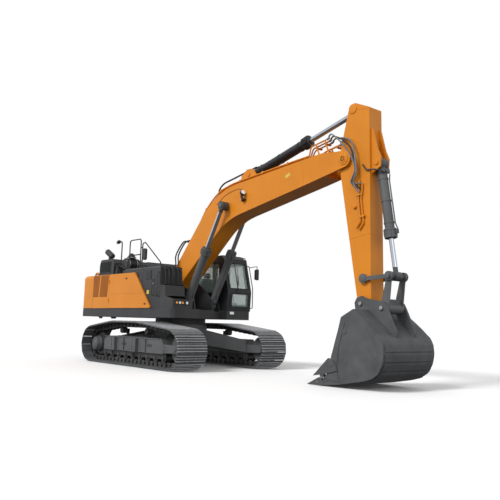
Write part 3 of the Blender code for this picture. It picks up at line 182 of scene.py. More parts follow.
# rows of along, y, up from the origin, with along pointing at the second point
def planeFrom(origin, toward):
    along = unit((toward - origin)[[0, 2]])

    def place(points):
        p = np.asarray(points, float)
        return np.stack([origin[0] + p[..., 0] * along[0] - p[..., 2] * along[1], p[..., 1],
                         origin[2] + p[..., 0] * along[1] + p[..., 2] * along[0]], -1)
    return place


onDeck = planeFrom(np.array([swing[0], 0, 0]), np.array([swing[0] + 1, 0, 0]))
onBoom = planeFrom(pins["boom"], pins["arm"])
onArm = planeFrom(pins["arm"], pins["bucket"])
onBucket = planeFrom(pins["bucket"], pins["bucket"] + (1, 0, 0))
# the rods slide, so their eyes are found on the links that they push
pins["boom_rods"] = onBoom((2.91, 0, 1.02))
pins["arm_rod"] = onArm((-1.09, 0, 0.41))
pins["bucket_rod"] = onBucket((0.673, 0, 0.573))

# materials

mixSockets = {"FLOAT": (2, 3, 0), "RGBA": (6, 7, 2)}     # the two inputs and the output of a Mix node


def rgba(colour):
    return (*colour, 1.0)


# starts a material and returns it with its shader, its coordinates, a node adder and a linker
def startMaterial(name):
    made = bpy.data.materials.new(name)
    made.use_nodes = True
    tree = made.node_tree

    def add(kind, values=None, links=None, **settings):
        node = tree.nodes.new("ShaderNode" + kind)
        for key, value in settings.items():
            setattr(node, key, value)
        for key, value in (values or {}).items():
            node.inputs[key].default_value = value
        for key, source in (links or {}).items():
            tree.links.new(source, node.inputs[key])
        return node
    return made, tree.nodes["Principled BSDF"], add("TexCoord").outputs["Object"], add, tree.links.new


# a ramp between two colours at two places along a value
def rampOf(add, value, low, high, start=0.0, end=1.0):
    ramp = add("ValToRGB", links={"Fac": value})
    for element, place, colour in zip(ramp.color_ramp.elements, (start, end), (low, high)):
        element.position, element.color = place, rgba(colour)
    return ramp.outputs["Color"]


# fades between two sources, each a socket or a plain value
def mixOf(add, link, factor, low, high, kind="RGBA"):
    blend = add("Mix", links={0: factor}, data_type=kind)
    for number, source in zip(mixSockets[kind], (low, high)):
        if isinstance(source, bpy.types.NodeSocket):
            link(source, blend.inputs[number])
        else:
            blend.inputs[number].default_value = source
    return blend.outputs[mixSockets[kind][2]]


def bumpOf(add, where, scale, detail, strength, **values):
    grain = add("TexNoise", {"Scale": scale, "Detail": detail, **values}, {"Vector": where})
    lift = add("Bump", {"Strength": strength, "Distance": 0.004}, {"Height": grain.outputs["Fac"]})
    return lift.outputs["Normal"]


# colour: a broad noise fades between two close tones, and dust gathers on faces that look up;
# roughness: a finer noise between two values; bump: a very fine noise for the paint's skin
def mottled(name, low, high, rough=(0.35, 0.5), grain=90.0, bump=0.05, broad=1.3, metal=0.0, coat=0.0, dust=0.0,
            dustColour=(0.42, 0.38, 0.33), gloss=0.5):
    made, shader, where, add, link = startMaterial(name)
    wide = add("TexNoise", {"Scale": broad, "Detail": 5.0, "Roughness": 0.6}, {"Vector": where})
    colour = rampOf(add, wide.outputs["Fac"], low, high, 0.35, 0.68)
    if dust:
        facing = add("SeparateXYZ", links={"Vector": add("NewGeometry").outputs["Normal"]})
        patch = add("TexNoise", {"Scale": 5.0, "Detail": 6.0, "Roughness": 0.7}, {"Vector": where})
        upward = add("MapRange", {"From Min": 0.2, "From Max": 1.0, "To Max": dust}, {"Value": facing.outputs["Z"]})
        amount = add("Math", links={0: upward.outputs["Result"], 1: patch.outputs["Fac"]}, operation="MULTIPLY")
        colour = mixOf(add, link, amount.outputs[0], colour, rgba(dustColour))
    link(colour, shader.inputs["Base Color"])
    fine = add("TexNoise", {"Scale": grain * 0.25, "Detail": 4.0}, {"Vector": where})
    spread = add("MapRange", {"From Min": 0.3, "From Max": 0.7, "To Min": rough[0], "To Max": rough[1]},
                 {"Value": fine.outputs["Fac"]})
    link(spread.outputs["Result"], shader.inputs["Roughness"])
    link(bumpOf(add, where, grain, 3.0, bump, Roughness=0.55), shader.inputs["Normal"])
    for key, value in (("Metallic", metal), ("Coat Weight", coat), ("Coat Roughness", 0.12),
                       ("Specular IOR Level", gloss)):
        shader.inputs[key].default_value = value
    return made


# worn steel: a wear value on the points, broken up by noise, turns dark scale into bright rubbed metal
def wornSteel(name, dark, bright, metal=0.35):
    made, shader, where, add, link = startMaterial(name)
    wear = add("Attribute", attribute_name="wear", attribute_type="GEOMETRY")
    broken = add("TexNoise", {"Scale": 22.0, "Detail": 6.0, "Roughness": 0.7}, {"Vector": where})
    soft = add("Math", {1: 0.5}, {0: broken.outputs["Fac"]}, operation="SUBTRACT")
    summed = add("Math", links={0: wear.outputs["Fac"], 1: soft.outputs[0]}, operation="ADD", use_clamp=True)
    wide = add("TexNoise", {"Scale": 2.5, "Detail": 6.0, "Roughness": 0.65}, {"Vector": where})
    base = rampOf(add, wide.outputs["Fac"], [0.72 * c for c in dark], [1.25 * c for c in dark], 0.3, 0.72)
    rubbed = rampOf(add, summed.outputs[0], (0, 0, 0), (1, 1, 1), 0.35, 0.95)
    link(mixOf(add, link, rubbed, base, rgba(bright)), shader.inputs["Base Color"])
    rough = add("MapRange", {"To Min": 0.62, "To Max": 0.36}, {"Value": rubbed})
    link(rough.outputs["Result"], shader.inputs["Roughness"])
    link(bumpOf(add, where, 160.0, 4.0, 0.18), shader.inputs["Normal"])
    shader.inputs["Metallic"].default_value = metal
    return made


# clear pane: mostly let through, with a faint green film and a sharp gloss
def paneGlass(name, tint, film):
    made, shader, where, add, link = startMaterial(name)
    haze = add("TexNoise", {"Scale": 1.6, "Detail": 3.0}, {"Vector": where})
    link(rampOf(add, haze.outputs["Fac"], [0.94 * c for c in tint], tint), shader.inputs["Base Color"])
    for key, value in (("Alpha", film), ("Roughness", 0.04), ("IOR", 1.5)):
        shader.inputs[key].default_value = value
    return made


# a chromed rod whose eye is painted: paint where the sideways distance to the eye's axis is below the reach
def rodFinish(name, eye, reach):
    made = mottled(name, (0.40, 0.44, 0.50), (0.52, 0.56, 0.62), (0.12, 0.2), 200.0, 0.01)
    tree, shader = made.node_tree, made.node_tree.nodes["Principled BSDF"]
    link = tree.links.new
    split, flat, far, bare, where = (tree.nodes.new("ShaderNode" + kind) for kind in (
        "SeparateXYZ", "CombineXYZ", "VectorMath", "Math", "TexCoord"))
    link(where.outputs["Object"], split.inputs[0])
    link(split.outputs["X"], flat.inputs["X"])
    link(split.outputs["Z"], flat.inputs["Z"])
    far.operation, bare.operation = "DISTANCE", "GREATER_THAN"
    link(flat.outputs[0], far.inputs[0])
    far.inputs[1].default_value = (eye[0], 0, eye[2])
    link(far.outputs["Value"], bare.inputs[0])
    bare.inputs[1].default_value = reach
    link(bare.outputs[0], shader.inputs["Metallic"])
    for key, painted, kind in (("Base Color", (0.055, 0.057, 0.06, 1), "RGBA"), ("Roughness", 0.5, "FLOAT")):
        blend = tree.nodes.new("ShaderNodeMix")
        blend.data_type = kind
        low, high, out = mixSockets[kind]
        blend.inputs[low].default_value = painted
        link(shader.inputs[key].links[0].from_socket, blend.inputs[high])
        link(bare.outputs[0], blend.inputs[0])
        link(blend.outputs[out], shader.inputs[key])
    return made


# woven cloth: two crossed waves lift the threads, a noise varies the dye
def wovenCloth(name, low, high):
    made, shader, where, add, link = startMaterial(name)
    threads = [add("TexWave", {"Scale": 95.0, "Distortion": 0.6, "Detail": 1.0}, {"Vector": where},
                   bands_direction=direction).outputs["Fac"] for direction in ("Y", "Z")]
    woven = add("Math", links={0: threads[0], 1: threads[1]}, operation="MULTIPLY")
    dye = add("TexNoise", {"Scale": 14.0, "Detail": 4.0}, {"Vector": where}).outputs["Fac"]
    link(rampOf(add, dye, low, high), shader.inputs["Base Color"])
    lift = add("Bump", {"Strength": 0.5, "Distance": 0.002}, {"Height": woven.outputs[0]})
    link(lift.outputs["Normal"], shader.inputs["Normal"])
    rough = add("MapRange", {"To Min": 0.8, "To Max": 0.95}, {"Value": dye})
    link(rough.outputs["Result"], shader.inputs["Roughness"])
    shader.inputs["Sheen Weight"].default_value = 0.4
    return made


# each finish: name, low tone, high tone, roughness range, grain, bump, and what else differs
orange = mottled("orangePaint", (0.61, 0.203, 0.009), (0.67, 0.226, 0.011), (0.36, 0.46), 120.0, 0.03,
                 coat=0.06, dust=0.03, gloss=0.22)
charcoal = mottled("charcoalPaint", (0.030, 0.031, 0.033), (0.040, 0.041, 0.044), (0.42, 0.55), 150.0, 0.06,
                   dust=0.05, gloss=0.3)
grey = mottled("greyPaint", (0.078, 0.081, 0.084), (0.105, 0.108, 0.112), (0.45, 0.6), 110.0, 0.10,
               dust=0.06, gloss=0.4)
black = mottled("blackPaint", (0.012, 0.013, 0.015), (0.019, 0.020, 0.023), (0.3, 0.45), 140.0, 0.04, gloss=0.3)
brown = mottled("brownStripe", (0.27, 0.082, 0.006), (0.32, 0.098, 0.008), (0.45, 0.55), 120.0, 0.03, 2.2, gloss=0.12)
trackSteel = wornSteel("trackSteel", (0.125, 0.128, 0.134), (0.50, 0.51, 0.53))
bucketSteel = wornSteel("bucketSteel", (0.080, 0.083, 0.088), (0.36, 0.37, 0.39), 0.2)
chainSteel = mottled("chainSteel", (0.034, 0.034, 0.035), (0.070, 0.069, 0.068), (0.5, 0.7), 60.0, 0.2, metal=0.3)
zinc = mottled("zincFitting", (0.30, 0.30, 0.30), (0.42, 0.42, 0.41), (0.3, 0.5), 80.0, 0.08, metal=0.8)
rubber = mottled("hoseRubber", (0.012, 0.012, 0.013), (0.024, 0.024, 0.025), (0.4, 0.65), 240.0, 0.10, 6.0)
sleeve = mottled("hoseSleeve", (0.13, 0.125, 0.125), (0.24, 0.225, 0.225), (0.4, 0.65), 240.0, 0.10, 6.0)
seal = mottled("sealRubber", (0.010, 0.010, 0.011), (0.018, 0.018, 0.019), (0.5, 0.7), 240.0, 0.10, 6.0)
glass = paneGlass("cabGlass", (0.42, 0.56, 0.53), 0.34)
mirrorGlass = mottled("mirrorFace", (0.55, 0.58, 0.6), (0.6, 0.63, 0.65), (0.03, 0.06), bump=0.0, metal=1.0)
amber = mottled("amberLens", (0.85, 0.28, 0.02), (0.95, 0.36, 0.04), (0.08, 0.16), bump=0.02, coat=0.6)
clearLens = mottled("clearLens", (0.72, 0.74, 0.76), (0.86, 0.87, 0.88), (0.06, 0.14), 60.0, coat=0.8)
redLens = mottled("redLens", (0.45, 0.02, 0.015), (0.55, 0.03, 0.02), (0.1, 0.2), bump=0.03, coat=0.6)
plate = mottled("blankPlate", (0.62, 0.46, 0.06), (0.70, 0.52, 0.08), (0.35, 0.45), bump=0.02)
cloth = wovenCloth("seatCloth", (0.020, 0.021, 0.024), (0.040, 0.041, 0.046))
plastic = mottled("trimPlastic", (0.020, 0.021, 0.022), (0.030, 0.031, 0.033), (0.5, 0.65), 260.0, 0.16)
print("materials made")

# pieces


# smooth shading that breaks at edges sharper than the angle, for a CAD node's loose triangles
def smoothingGroup(angle):
    group = bpy.data.node_groups.new("smoothByAngle", "GeometryNodeTree")
    for way in ("INPUT", "OUTPUT"):
        group.interface.new_socket("Geometry", in_out=way, socket_type="NodeSocketGeometry")
    start, end, faces, edges, bend, limit = (group.nodes.new(kind) for kind in (
        "NodeGroupInput", "NodeGroupOutput", "GeometryNodeSetShadeSmooth", "GeometryNodeSetShadeSmooth",
        "GeometryNodeInputMeshEdgeAngle", "ShaderNodeMath"))
    edges.domain, limit.operation = "EDGE", "LESS_THAN"
    limit.inputs[1].default_value = angle
    for source, target in ((bend.outputs["Unsigned Angle"], limit.inputs[0]),
                           (limit.outputs[0], edges.inputs["Shade Smooth"]), (start.outputs[0], faces.inputs[0]),
                           (faces.outputs[0], edges.inputs[0]), (edges.outputs[0], end.inputs[0])):
        group.links.new(source, target)
    return group


smoothing = smoothingGroup(math.radians(34))


# a rounded edge of the given width, with its normals weighted to the large faces
def roundEdges(piece, width, cad=False):
    if cad:
        piece.modifiers.new("weld", "WELD").merge_threshold = 0.00005
    if width:
        bevel = piece.modifiers.new("edges", "BEVEL")
        bevel.width, bevel.segments = width, 2
        bevel.limit_method, bevel.angle_limit = "ANGLE", math.radians(32)
        bevel.miter_outer = "MITER_ARC"
    piece.modifiers.new("smooth", "NODES").node_group = smoothing
    piece.modifiers.new("weights", "WEIGHTED_NORMAL").keep_sharp = True


# puts surfaces into one mesh, sets it in its link's plane and hangs it on its body
def makePiece(name, shapes, material, body=None, place=None, edge=0.0, smooth=35, wear=None):
    points, corners, counts = joined(*shapes) if isinstance(shapes, list) else shapes
    if place:
        points = place(points)
    mesh = bpy.data.meshes.new(name)
    mesh.vertices.add(len(points))
    mesh.vertices.foreach_set("co", np.ascontiguousarray(points, np.float32).ravel())
    mesh.loops.add(len(corners))
    mesh.loops.foreach_set("vertex_index", corners.astype(np.int32))
    mesh.polygons.add(len(counts))
    mesh.polygons.foreach_set("loop_start", (np.cumsum(counts) - counts).astype(np.int32))
    mesh.update(calc_edges=True)
    mesh.validate()
    mesh.shade_smooth()
    mesh.set_sharp_from_angle(angle=math.radians(smooth))
    mesh.materials.append(material)
    if wear is not None:
        layer = mesh.attributes.new("wear", "FLOAT", "POINT")
        layer.data.foreach_set("value", np.ascontiguousarray(np.broadcast_to(wear, len(points)), np.float32))
    piece = bpy.data.objects.new(name, mesh)
    bpy.context.scene.collection.objects.link(piece)
    if edge:
        roundEdges(piece, edge)
    if body:
        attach(piece, body)
    return piece


# CAD nodes: finish, edge width, and the nodes that have them; LR stands for left and right

rods = {name: rodFinish(name + "Finish", pins[body], reach) for name, body, reach in (
    ("boomRod", "boom_rods", 0.19), ("armRod", "arm_rod", 0.22), ("bucketRod", "bucket_rod", 0.20))}
nodeFinish = (
    (grey, 0.010, "carbody track_frame_LR"), (grey, 0.006, "sprocket_LR idler_links"), (grey, 0.02, "engine"),
    (grey, 0.008, "idler_LR coupler_link"), (grey, 0.004, "boom_barrel_LR bucket_barrel"),
    (chainSteel, 0.003, "swing_bearing"), (chainSteel, 0.008, "control_valve"), (chainSteel, 0.004, "carrier_rollers_LR"),
    (chainSteel, 0.006, "swing_motor rollers_LR"), (orange, 0.012, "counterweight"), (orange, 0.008, "boom arm"),
    (orange, 0.005, "rear_panel_LR side_door_LR"), (charcoal, 0.006, "main_frame hydraulic_tank fuel_tank"),
    (charcoal, 0.004, "engine_bay"), (charcoal, 0.003, "exhaust"), (charcoal, 0.012, "muffler_housing battery_box"),
    (charcoal, 0.010, "tool_box"), (charcoal, 0.02, "engine_hood"), (charcoal, 0.0, "cab_handrail"),
    (black, 0.006, "air_cleaner cab_door"), (black, 0.008, "cab_shell"), (black, 0.0, "right_handrail"),
    (black, 0.005, "arm_barrel"), (plastic, 0.012, "seat_base consoles"), (bucketSteel, 0.006, "bucket"),
    (bucketSteel, 0.010, "bucket_teeth"), (rods["boomRod"], 0.003, "boom_rod_LR"), (rods["armRod"], 0.003, "arm_rod"),
    (rods["bucketRod"], 0.003, "bucket_rod"),
    (glass, None, "window_LR window_rear windshield_upper windshield_lower door_glass"))
for material, width, names in nodeFinish:
    for name in (word.replace("LR", side) for word in names.split()
                 for side in (("left", "right") if "LR" in word else ("",))):
        node = frame["nodes"][name]
        if not node.material_slots:
            node.data.materials.append(material)
        for place in node.material_slots:
            place.link = "OBJECT"
            place.material = material
        if width is not None:
            roundEdges(node, width, cad=True)
print("CAD nodes finished")

# tracks: an endless belt round four circles, with rigid shoes between its pins

track = {"gauge": 2.82, "shoes": 53, "wheelbase": 4.33, "pitchRadius": 0.431, "wheelHeight": 0.546,
         "carrierX": (-0.85, 0.55), "carrierHeight": 0.974, "carrierPitch": 0.166, "shoeWidth": 0.93,
         "plateIn": 0.062, "plateOut": 0.076, "tip": 0.115, "frameHalf": 0.22, "guardHalf": 0.31, "roller": 0.285}


# the belt's points at each distance, and its length: straight runs touch the circles, arcs lie on them
def beltAt(distances):
    half = track["wheelbase"] / 2
    centres = np.array([(-half, track["wheelHeight"]), (half, track["wheelHeight"]),
                        (track["carrierX"][1], track["carrierHeight"]), (track["carrierX"][0], track["carrierHeight"])])
    radii = np.array([track["pitchRadius"]] * 2 + [track["carrierPitch"]] * 2)
    nextCentres, nextRadii = np.roll(centres, -1, 0), np.roll(radii, -1)
    runs = nextCentres - centres
    spans = np.linalg.norm(runs, axis=1)
    lean = (radii - nextRadii) / spans
    along = runs / spans[:, None]
    right = np.stack([along[:, 1], -along[:, 0]], 1)
    normals = along * lean[:, None] + right * np.sqrt(1 - lean ** 2)[:, None]
    starts, ends = centres + normals * radii[:, None], nextCentres + normals * nextRadii[:, None]
    straight = np.linalg.norm(ends - starts, axis=1)
    first = np.arctan2(normals[:, 1], normals[:, 0])
    bends = (np.roll(first, -1) - first) % (2 * math.pi) * nextRadii
    marks = np.concatenate([[0], np.cumsum(np.stack([straight, bends], 1).ravel())])
    s = np.asarray(distances, float) % marks[-1]
    item = np.clip(np.searchsorted(marks, s, side="right") - 1, 0, 7)
    leg, rest = item // 2, s - marks[item]
    part = (rest / straight[leg])[..., None]
    angle = first[leg] + rest / nextRadii[leg]
    onArc = nextCentres[leg] + np.stack([np.cos(angle), np.sin(angle)], -1) * nextRadii[leg][..., None]
    return np.where((item % 2 == 0)[..., None], starts[leg] * (1 - part) + ends[leg] * part, onArc), marks[-1]


# one frame per shoe: origin midway between its two pins, x across the shoe, y along the belt, z outward
def shoeFrames(side):
    pitch = beltAt(np.zeros(1))[1] / track["shoes"]
    starts = np.arange(track["shoes"]) * pitch
    a, b = beltAt(starts)[0], beltAt(starts + pitch)[0]
    middle, slope, nothing = (a + b) / 2, unit(b - a), np.zeros(len(a))
    origins = np.stack([middle[:, 0] + swing[0], nothing + side * track["gauge"] / 2, middle[:, 1]], 1)
    belt = np.stack([slope[:, 0], nothing, slope[:, 1]], 1)
    outward = np.stack([slope[:, 1], nothing, -slope[:, 0]], 1)
    return origins, np.stack([np.cross(belt, outward), belt, outward], 1), pitch


# a shoe's section as distance along the belt, height and wear: three ribs on a plate with an overlapping lip
def shoeSection(pitch):
    low, high, tip, half = track["plateIn"], track["plateOut"], track["tip"], pitch / 2
    ribs = [(centre * pitch + offset, level, worn) for centre in (-0.36, -0.02, 0.32)
            for offset, level, worn in ((-0.015, high, 0), (-0.007, tip, 1), (0.006, tip, 1), (0.014, high, 0))]
    return np.array([(-half + 0.002, high, 0.2)] + ribs + [
        (half - 0.006, high + 0.008, 0.3), (half + 0.030, high + 0.006, 0.5), (half + 0.030, high - 0.004, 0.2),
        (half - 0.004, low, 0), (-half + 0.002, low, 0)])


# the ribs are cut down at the shoe's ends
def wholeShoe(pitch):
    section, half, top = shoeSection(pitch), track["shoeWidth"] / 2, track["plateOut"]
    stations, share = np.array([-half, -half + 0.03, half - 0.03, half]), np.array([0.45, 1.0, 1.0, 0.45])
    level = section[None, :, 1]
    height = np.where(level > top, top + (level - top) * share[:, None], level)
    rings = np.stack([np.broadcast_to(stations[:, None], height.shape),
                      np.broadcast_to(section[None, :, 0], height.shape), height], -1)
    heads = bolts([(x, y * pitch, top) for x in (-0.13, 0.13) for y in (-0.19, 0.15)], (0, 0, 1), 0.017, 0.014)
    worn = np.broadcast_to(section[::-1, 2][None], height.shape).ravel() * 0.9
    return joined(lofted(rings[:, ::-1]), heads), np.append(worn, np.full(len(heads[0]), 0.45))


# two link plates with round pin bosses, a pin and a bushing
def chainLink(pitch):
    turn, reach, boss = circle(8), pitch / 2, 0.052
    rear, front = (np.stack([end + boss * np.cos(turn[order]), boss * np.sin(turn[order])], 1)
                   for end, order in ((-reach, slice(2, 7)), (reach, [6, 7, 0, 1, 2])))
    flat = np.concatenate([rear[:3], [(-reach + 0.01, -0.055), (-0.05, -0.074), (0.06, -0.074)], front[:4],
                           [(reach - 0.03, 0.061), (-reach + 0.03, 0.061)]])
    plates = [lofted(np.stack([np.insert(flat[::-1], 0, level, axis=1) for level in pair]))
              for pair in ((-0.148, -0.105), (0.105, 0.148))]
    rounds = [turned([(0, radius), (2 * half, radius)], (-half, reach, 0), (half, reach, 0), 10)
              for radius, half in ((0.022, 0.175), (0.034, 0.10))]
    return joined(*plates, *rounds)


middle = swing[0]
for side, label in ((1, "left"), (-1, "right")):
    origins, axes, pitch = shoeFrames(side)
    shoe, wear = wholeShoe(pitch)
    shoes = makePiece("track_shoes_" + label, copies(shoe, origins, axes), trackSteel, "undercarriage", smooth=25,
                      wear=np.tile(wear, len(origins)))
    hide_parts("track_" + label)
    makePiece("track_chain_" + label, copies(chainLink(pitch), origins, axes), chainSteel, "undercarriage", smooth=30)

    y0 = side * track["gauge"] / 2
    low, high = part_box("rollers_" + label)
    rollerX = np.linspace(low[0] + 0.1, high[0] - 0.1, 9)
    flange = [(0, 0.088), (0.004, 0.116), (0.022, 0.116), (0.026, 0.062), (0.052, 0.058), (0.056, 0.03)]
    makePiece("roller_flanges_" + label, [copies(turned(flange, (0, 0, 0), (0, out, 0), 16),
                                                 [(x, y0 + out * 0.150, track["roller"]) for x in rollerX])
                                          for out in (side, -side)], chainSteel, "undercarriage", smooth=30)
    low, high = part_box("sprocket_" + label)
    hubX, hubZ, outer = (low[0] + high[0]) / 2, (low[2] + high[2]) / 2, high[1] if side > 0 else low[1]
    cover = [(-0.03, 0.175), (0.006, 0.175), (0.012, 0.165), (0.016, 0.11), (0.026, 0.10), (0.028, 0.02)]
    rings = [bolts([(hubX + r * math.cos(a), y, hubZ + r * math.sin(a)) for a in circle(18)], (0, side, 0), 0.011)
             for r, y in ((0.142, outer + side * 0.010), (0.215, outer - side * 0.063))]
    makePiece("final_drive_cover_" + label, [turned(cover, (hubX, outer - side * 0.002, hubZ),
                                                    (hubX, outer + side, hubZ), 28), *rings],
              grey, "undercarriage", smooth=30)
    face, guard = y0 + side * track["frameHalf"], y0 + side * track["guardHalf"]
    fittings = []
    for x in (-1.05, 0.15):                              # guard posts: bolts, rib and foot
        fittings += [bolts([(middle + x + dx, guard, z) for z in (0.47, 0.56, 0.65, 0.72)], (0, side, 0), 0.017, 0.013)
                     for dx in (-0.145, 0.145)]
        fittings.append(block((middle + x - 0.02, guard - side * 0.01, 0.43),
                              (middle + x + 0.02, guard + side * 0.012, 0.76)))
        fittings.append(block((middle + x - 0.21, face, 0.405), (middle + x + 0.21, guard + side * 0.014, 0.43)))
    fittings += [block((middle + x0, face - side * 0.01, z0), (middle + x1, face + side * out, z1))
                 for x0, x1, z0, z1, out in ((-0.462, -0.438, 0.42, 0.785, 0.03), (0.738, 0.762, 0.42, 0.785, 0.03),
                                             (-1.55, 1.45, 0.775, 0.797, 0.018), (-1.6, 1.62, 0.402, 0.424, 0.018))]
    cap = turned([(0, 0.075), (0.010, 0.075), (0.014, 0.06), (0.020, 0.055)], (0, 0, 0), (0, side, 0), 20)
    fittings.append(copies(cap, [(middle + 2.165, y0 + side * 0.21, 0.546)]))
    fittings.append(bolts([(middle + 1.55 + 0.09 * k, y0 + side * 0.211, 0.50 + 0.09 * j)
                           for k in range(3) for j in range(2)], (0, side, 0), 0.014))
    makePiece("frame_fittings_" + label, fittings, grey, "undercarriage", edge=0.003)
    # dark patches flush on the frame's face where its slots are: the holes are not cut, their dark is painted shade
    hole = [(0.075 * math.cos(a) + 0.06 * np.sign(math.cos(a)), 0.045 * math.sin(a))
            for a in np.linspace(0, 2 * math.pi, 17)[:-1]]
    makePiece("frame_slots_" + label, [prism([(middle + x + px, 0.60 + pz) for px, pz in hole], face - side * 0.004,
                                             face + side * 0.0015) for x in (-0.45, 0.95)],
              chainSteel, "undercarriage")
print("tracks made")

# upper body: stripes, seams, handles, grilles, plates and lamps

skin, stripeLean = 1.495, 0.045                          # half width of the panels, slant of the stripes' edges
for side, label in ((-1, "right"), (1, "left")):
    stripes = [prism([(x0 - back, 1.97), (x1 - stripeLean, 1.97), (x1 + stripeLean * 0.6, 2.645),
                      (x0 + back * 0.6, 2.645)], side * (skin - 0.004), side * (skin + 0.0012))
               for x0, x1, back in ((-2.84, -2.44, 0), (-2.37, -1.86, stripeLean))]
    makePiece("stripes_" + label, stripes, brown, "upper", onDeck)
rearSeam = [(-2.862, 1.63), (-2.858, 1.63), (-2.858, 2.65), (-2.862, 2.65)]
makePiece("panel_joint_seals", [prism(rearSeam, s * (skin - 0.03), s * (skin - 0.001)) for s in (-1, 1)], seal,
          "upper", onDeck)
for side, label, lowFront, topFront in ((-1, "right", 0.66, -0.29), (1, "left", -0.52, -0.95)):
    body, inner = "side_door_" + label, side * (skin - 0.004)
    creaseEnd, latchX = (lowFront - 0.415, -0.75) if side < 0 else (-0.70, -1.05)
    # a thin brown strip along the door's crease: painted shade of the crease
    makePiece("door_crease_" + label, block((-1.78, inner, 2.046), (creaseEnd, side * (skin + 0.0008), 2.051)), brown,
              body, onDeck)
    latches = []
    for x, z in ((latchX, 2.50), (lowFront - 0.30, 1.74)):
        rim = [(x + 0.055 * math.cos(a), z + 0.026 * math.sin(a)) for a in np.linspace(0, 2 * math.pi, 21)[:-1]]
        latches += [prism(rim, inner, side * (skin + 0.004)),
                    prism([(x - 0.03, z - 0.012), (x + 0.03, z - 0.012), (x + 0.03, z + 0.012), (x - 0.03, z + 0.012)],
                          side * skin, side * (skin + 0.009))]
    makePiece("door_latches_" + label, latches, black, body, onDeck, 0.0015)
    edgeY = side * (skin - 0.02)
    makePiece("door_top_seal_" + label, tube(curved([(-1.785, edgeY, 2.662), (topFront - 0.04, edgeY, 2.662)], 4),
                                             0.008, 6), seal, body, onDeck)
makePiece("door_louvres_left", [prism([(skin - 0.006, z), (skin + 0.010, z - 0.004), (skin - 0.006, z + 0.040)],
                                      -1.66, -0.86, "x") for z in 1.80 + 0.075 * np.arange(9)],
          charcoal, "side_door_left", onDeck, 0.0015)
makePiece("deck_lip", [block((-2.86, s * 1.483, 1.596), (0.90, s * 1.503, 1.612)) for s in (-1, 1)], black, "upper",
          onDeck, 0.003)
makePiece("drain_plugs", [turned([(0, 0.045), (0.03, 0.045), (0.035, 0.028), (0.06, 0.028)], (x, -1.25, 1.365),
                                 (x, -1.25, 1.0), 12) for x in (-2.75, -2.66, -1.95, -1.86, -1.77)],
          black, "upper", onDeck)
tail = [(s, 3.80 * math.cos(math.radians(180 - s * 14))) for s in (-1, 1)]
makePiece("rear_reflectors", [block((x - 0.006, s * 0.92 - 0.12, 1.74), (x + 0.02, s * 0.92 + 0.12, 1.80))
                              for s, x in tail], redLens, "upper", onDeck, 0.004)
makePiece("rear_camera", [block((-3.69, -0.05, 2.675), (-3.58, 0.05, 2.73)),
                          turned([(0, 0.03), (0.02, 0.03)], (-3.685, 0, 2.70), (-3.72, 0, 2.695), 16)],
          black, "upper", onDeck, 0.004)

# muffler housing: dark grille and its rim on the outer side, guard bar and rear grab rail
low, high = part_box("muffler_housing")
grille = [block((low[0] + 0.085, low[1] - 0.002, z), (high[0] - 0.19, low[1] + 0.012, z + 0.006))
          for z in np.arange(2.745, 3.075, 0.018)]
grille += [block((x, low[1] - 0.004, 2.745), (x + 0.006, low[1] + 0.010, 3.07))
           for x in np.arange(low[0] + 0.09, high[0] - 0.19, 0.042)]
makePiece("muffler_grille", grille, black, "upper")
rimX0, rimX1, rimY = low[0] + 0.075, high[0] - 0.18, low[1] - 0.002
rim = bent([(rimX0, rimY, 2.735), (rimX1, rimY, 2.735), (rimX1, rimY, 3.085), (rimX0, rimY, 3.085),
            (rimX0, rimY, 2.75)], 0.012, 4)
makePiece("muffler_grille_rim", tube(rim, 0.009, 8, (0.2, 1.0, 0.3)), charcoal, "upper")
guardY = low[1] + 0.02
makePiece("muffler_guard", tube(bent([(low[0] + 0.02, guardY, 2.70), (low[0] - 0.01, guardY, 2.85),
                                      (low[0] - 0.01, guardY, 3.0), (low[0] + 0.07, guardY, 3.15)], 0.05), 0.012),
          black, "upper")
makePiece("rear_grab_rail", tube(bent([(-3.05, -1.25, 2.66), (-3.05, -1.25, 2.735), (-3.24, -1.25, 2.745),
                                       (-3.24, -1.25, 2.66)], 0.03), 0.016, 8), black, "upper", onDeck)

# engine hood: grilles and a grab rail on top
low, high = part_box("engine_hood")
vents = [block((x, low[1] + 0.30, high[2] - 0.012), (x + 0.045, high[1] - 0.30, high[2] + 0.004))
         for x in low[0] + 0.20 + 0.085 * np.arange(16)]
vents += [block((high[0] - 0.50, low[1] - 0.006, z), (high[0] - 0.16, low[1] + 0.01, z + 0.022))
          for z in low[2] + 0.10 + 0.045 * np.arange(6)]
makePiece("hood_vents", vents, black, "engine_hood", edge=0.002)
railY = low[1] + 0.12
makePiece("hood_grab_rail", tube(bent([(low[0] + 0.25, railY, high[2] - 0.02), (low[0] + 0.25, railY, high[2] + 0.045),
                                       (low[0] + 1.20, railY, high[2] + 0.04), (low[0] + 1.20, railY, high[2] - 0.02)],
                                      0.04), 0.012), black, "engine_hood")

# air intake: bands, elbow, filters and small hoses round the drum
drum = onDeck((-1.24, -1.33, 2.97))
bands = [sideCap([(0, 0.192), (0.002, 0.199), (0.022, 0.199), (0.024, 0.192)], drum[0], drum[1] + d, drum[2], 1, 32)
         for d in (0.10, 0.36)]
bands.append(turned([(0, 0.10), (0.01, 0.155), (0.03, 0.155), (0.035, 0.10)], onDeck((-1.24, -1.08, 3.17)),
                    onDeck((-1.24, -1.08, 4)), 28))
bands += [block(drum + (-0.215, d - 0.012, -0.03), drum + (-0.185, d + 0.03, 0.03)) for d in (0.10, 0.36)]
makePiece("intake_bands", bands, zinc, "upper", smooth=30)
elbow = curved([(-1.24, -0.86, 2.97), (-1.24, -0.76, 2.97), (-1.28, -0.66, 2.93), (-1.36, -0.60, 2.86)], 6)
makePiece("intake_elbow", tube(elbow, 0.095 + 0.006 * np.cos(np.arange(len(elbow)) * math.pi), 18, (0.1, 0.2, 1.0)),
          rubber, "upper", onDeck)
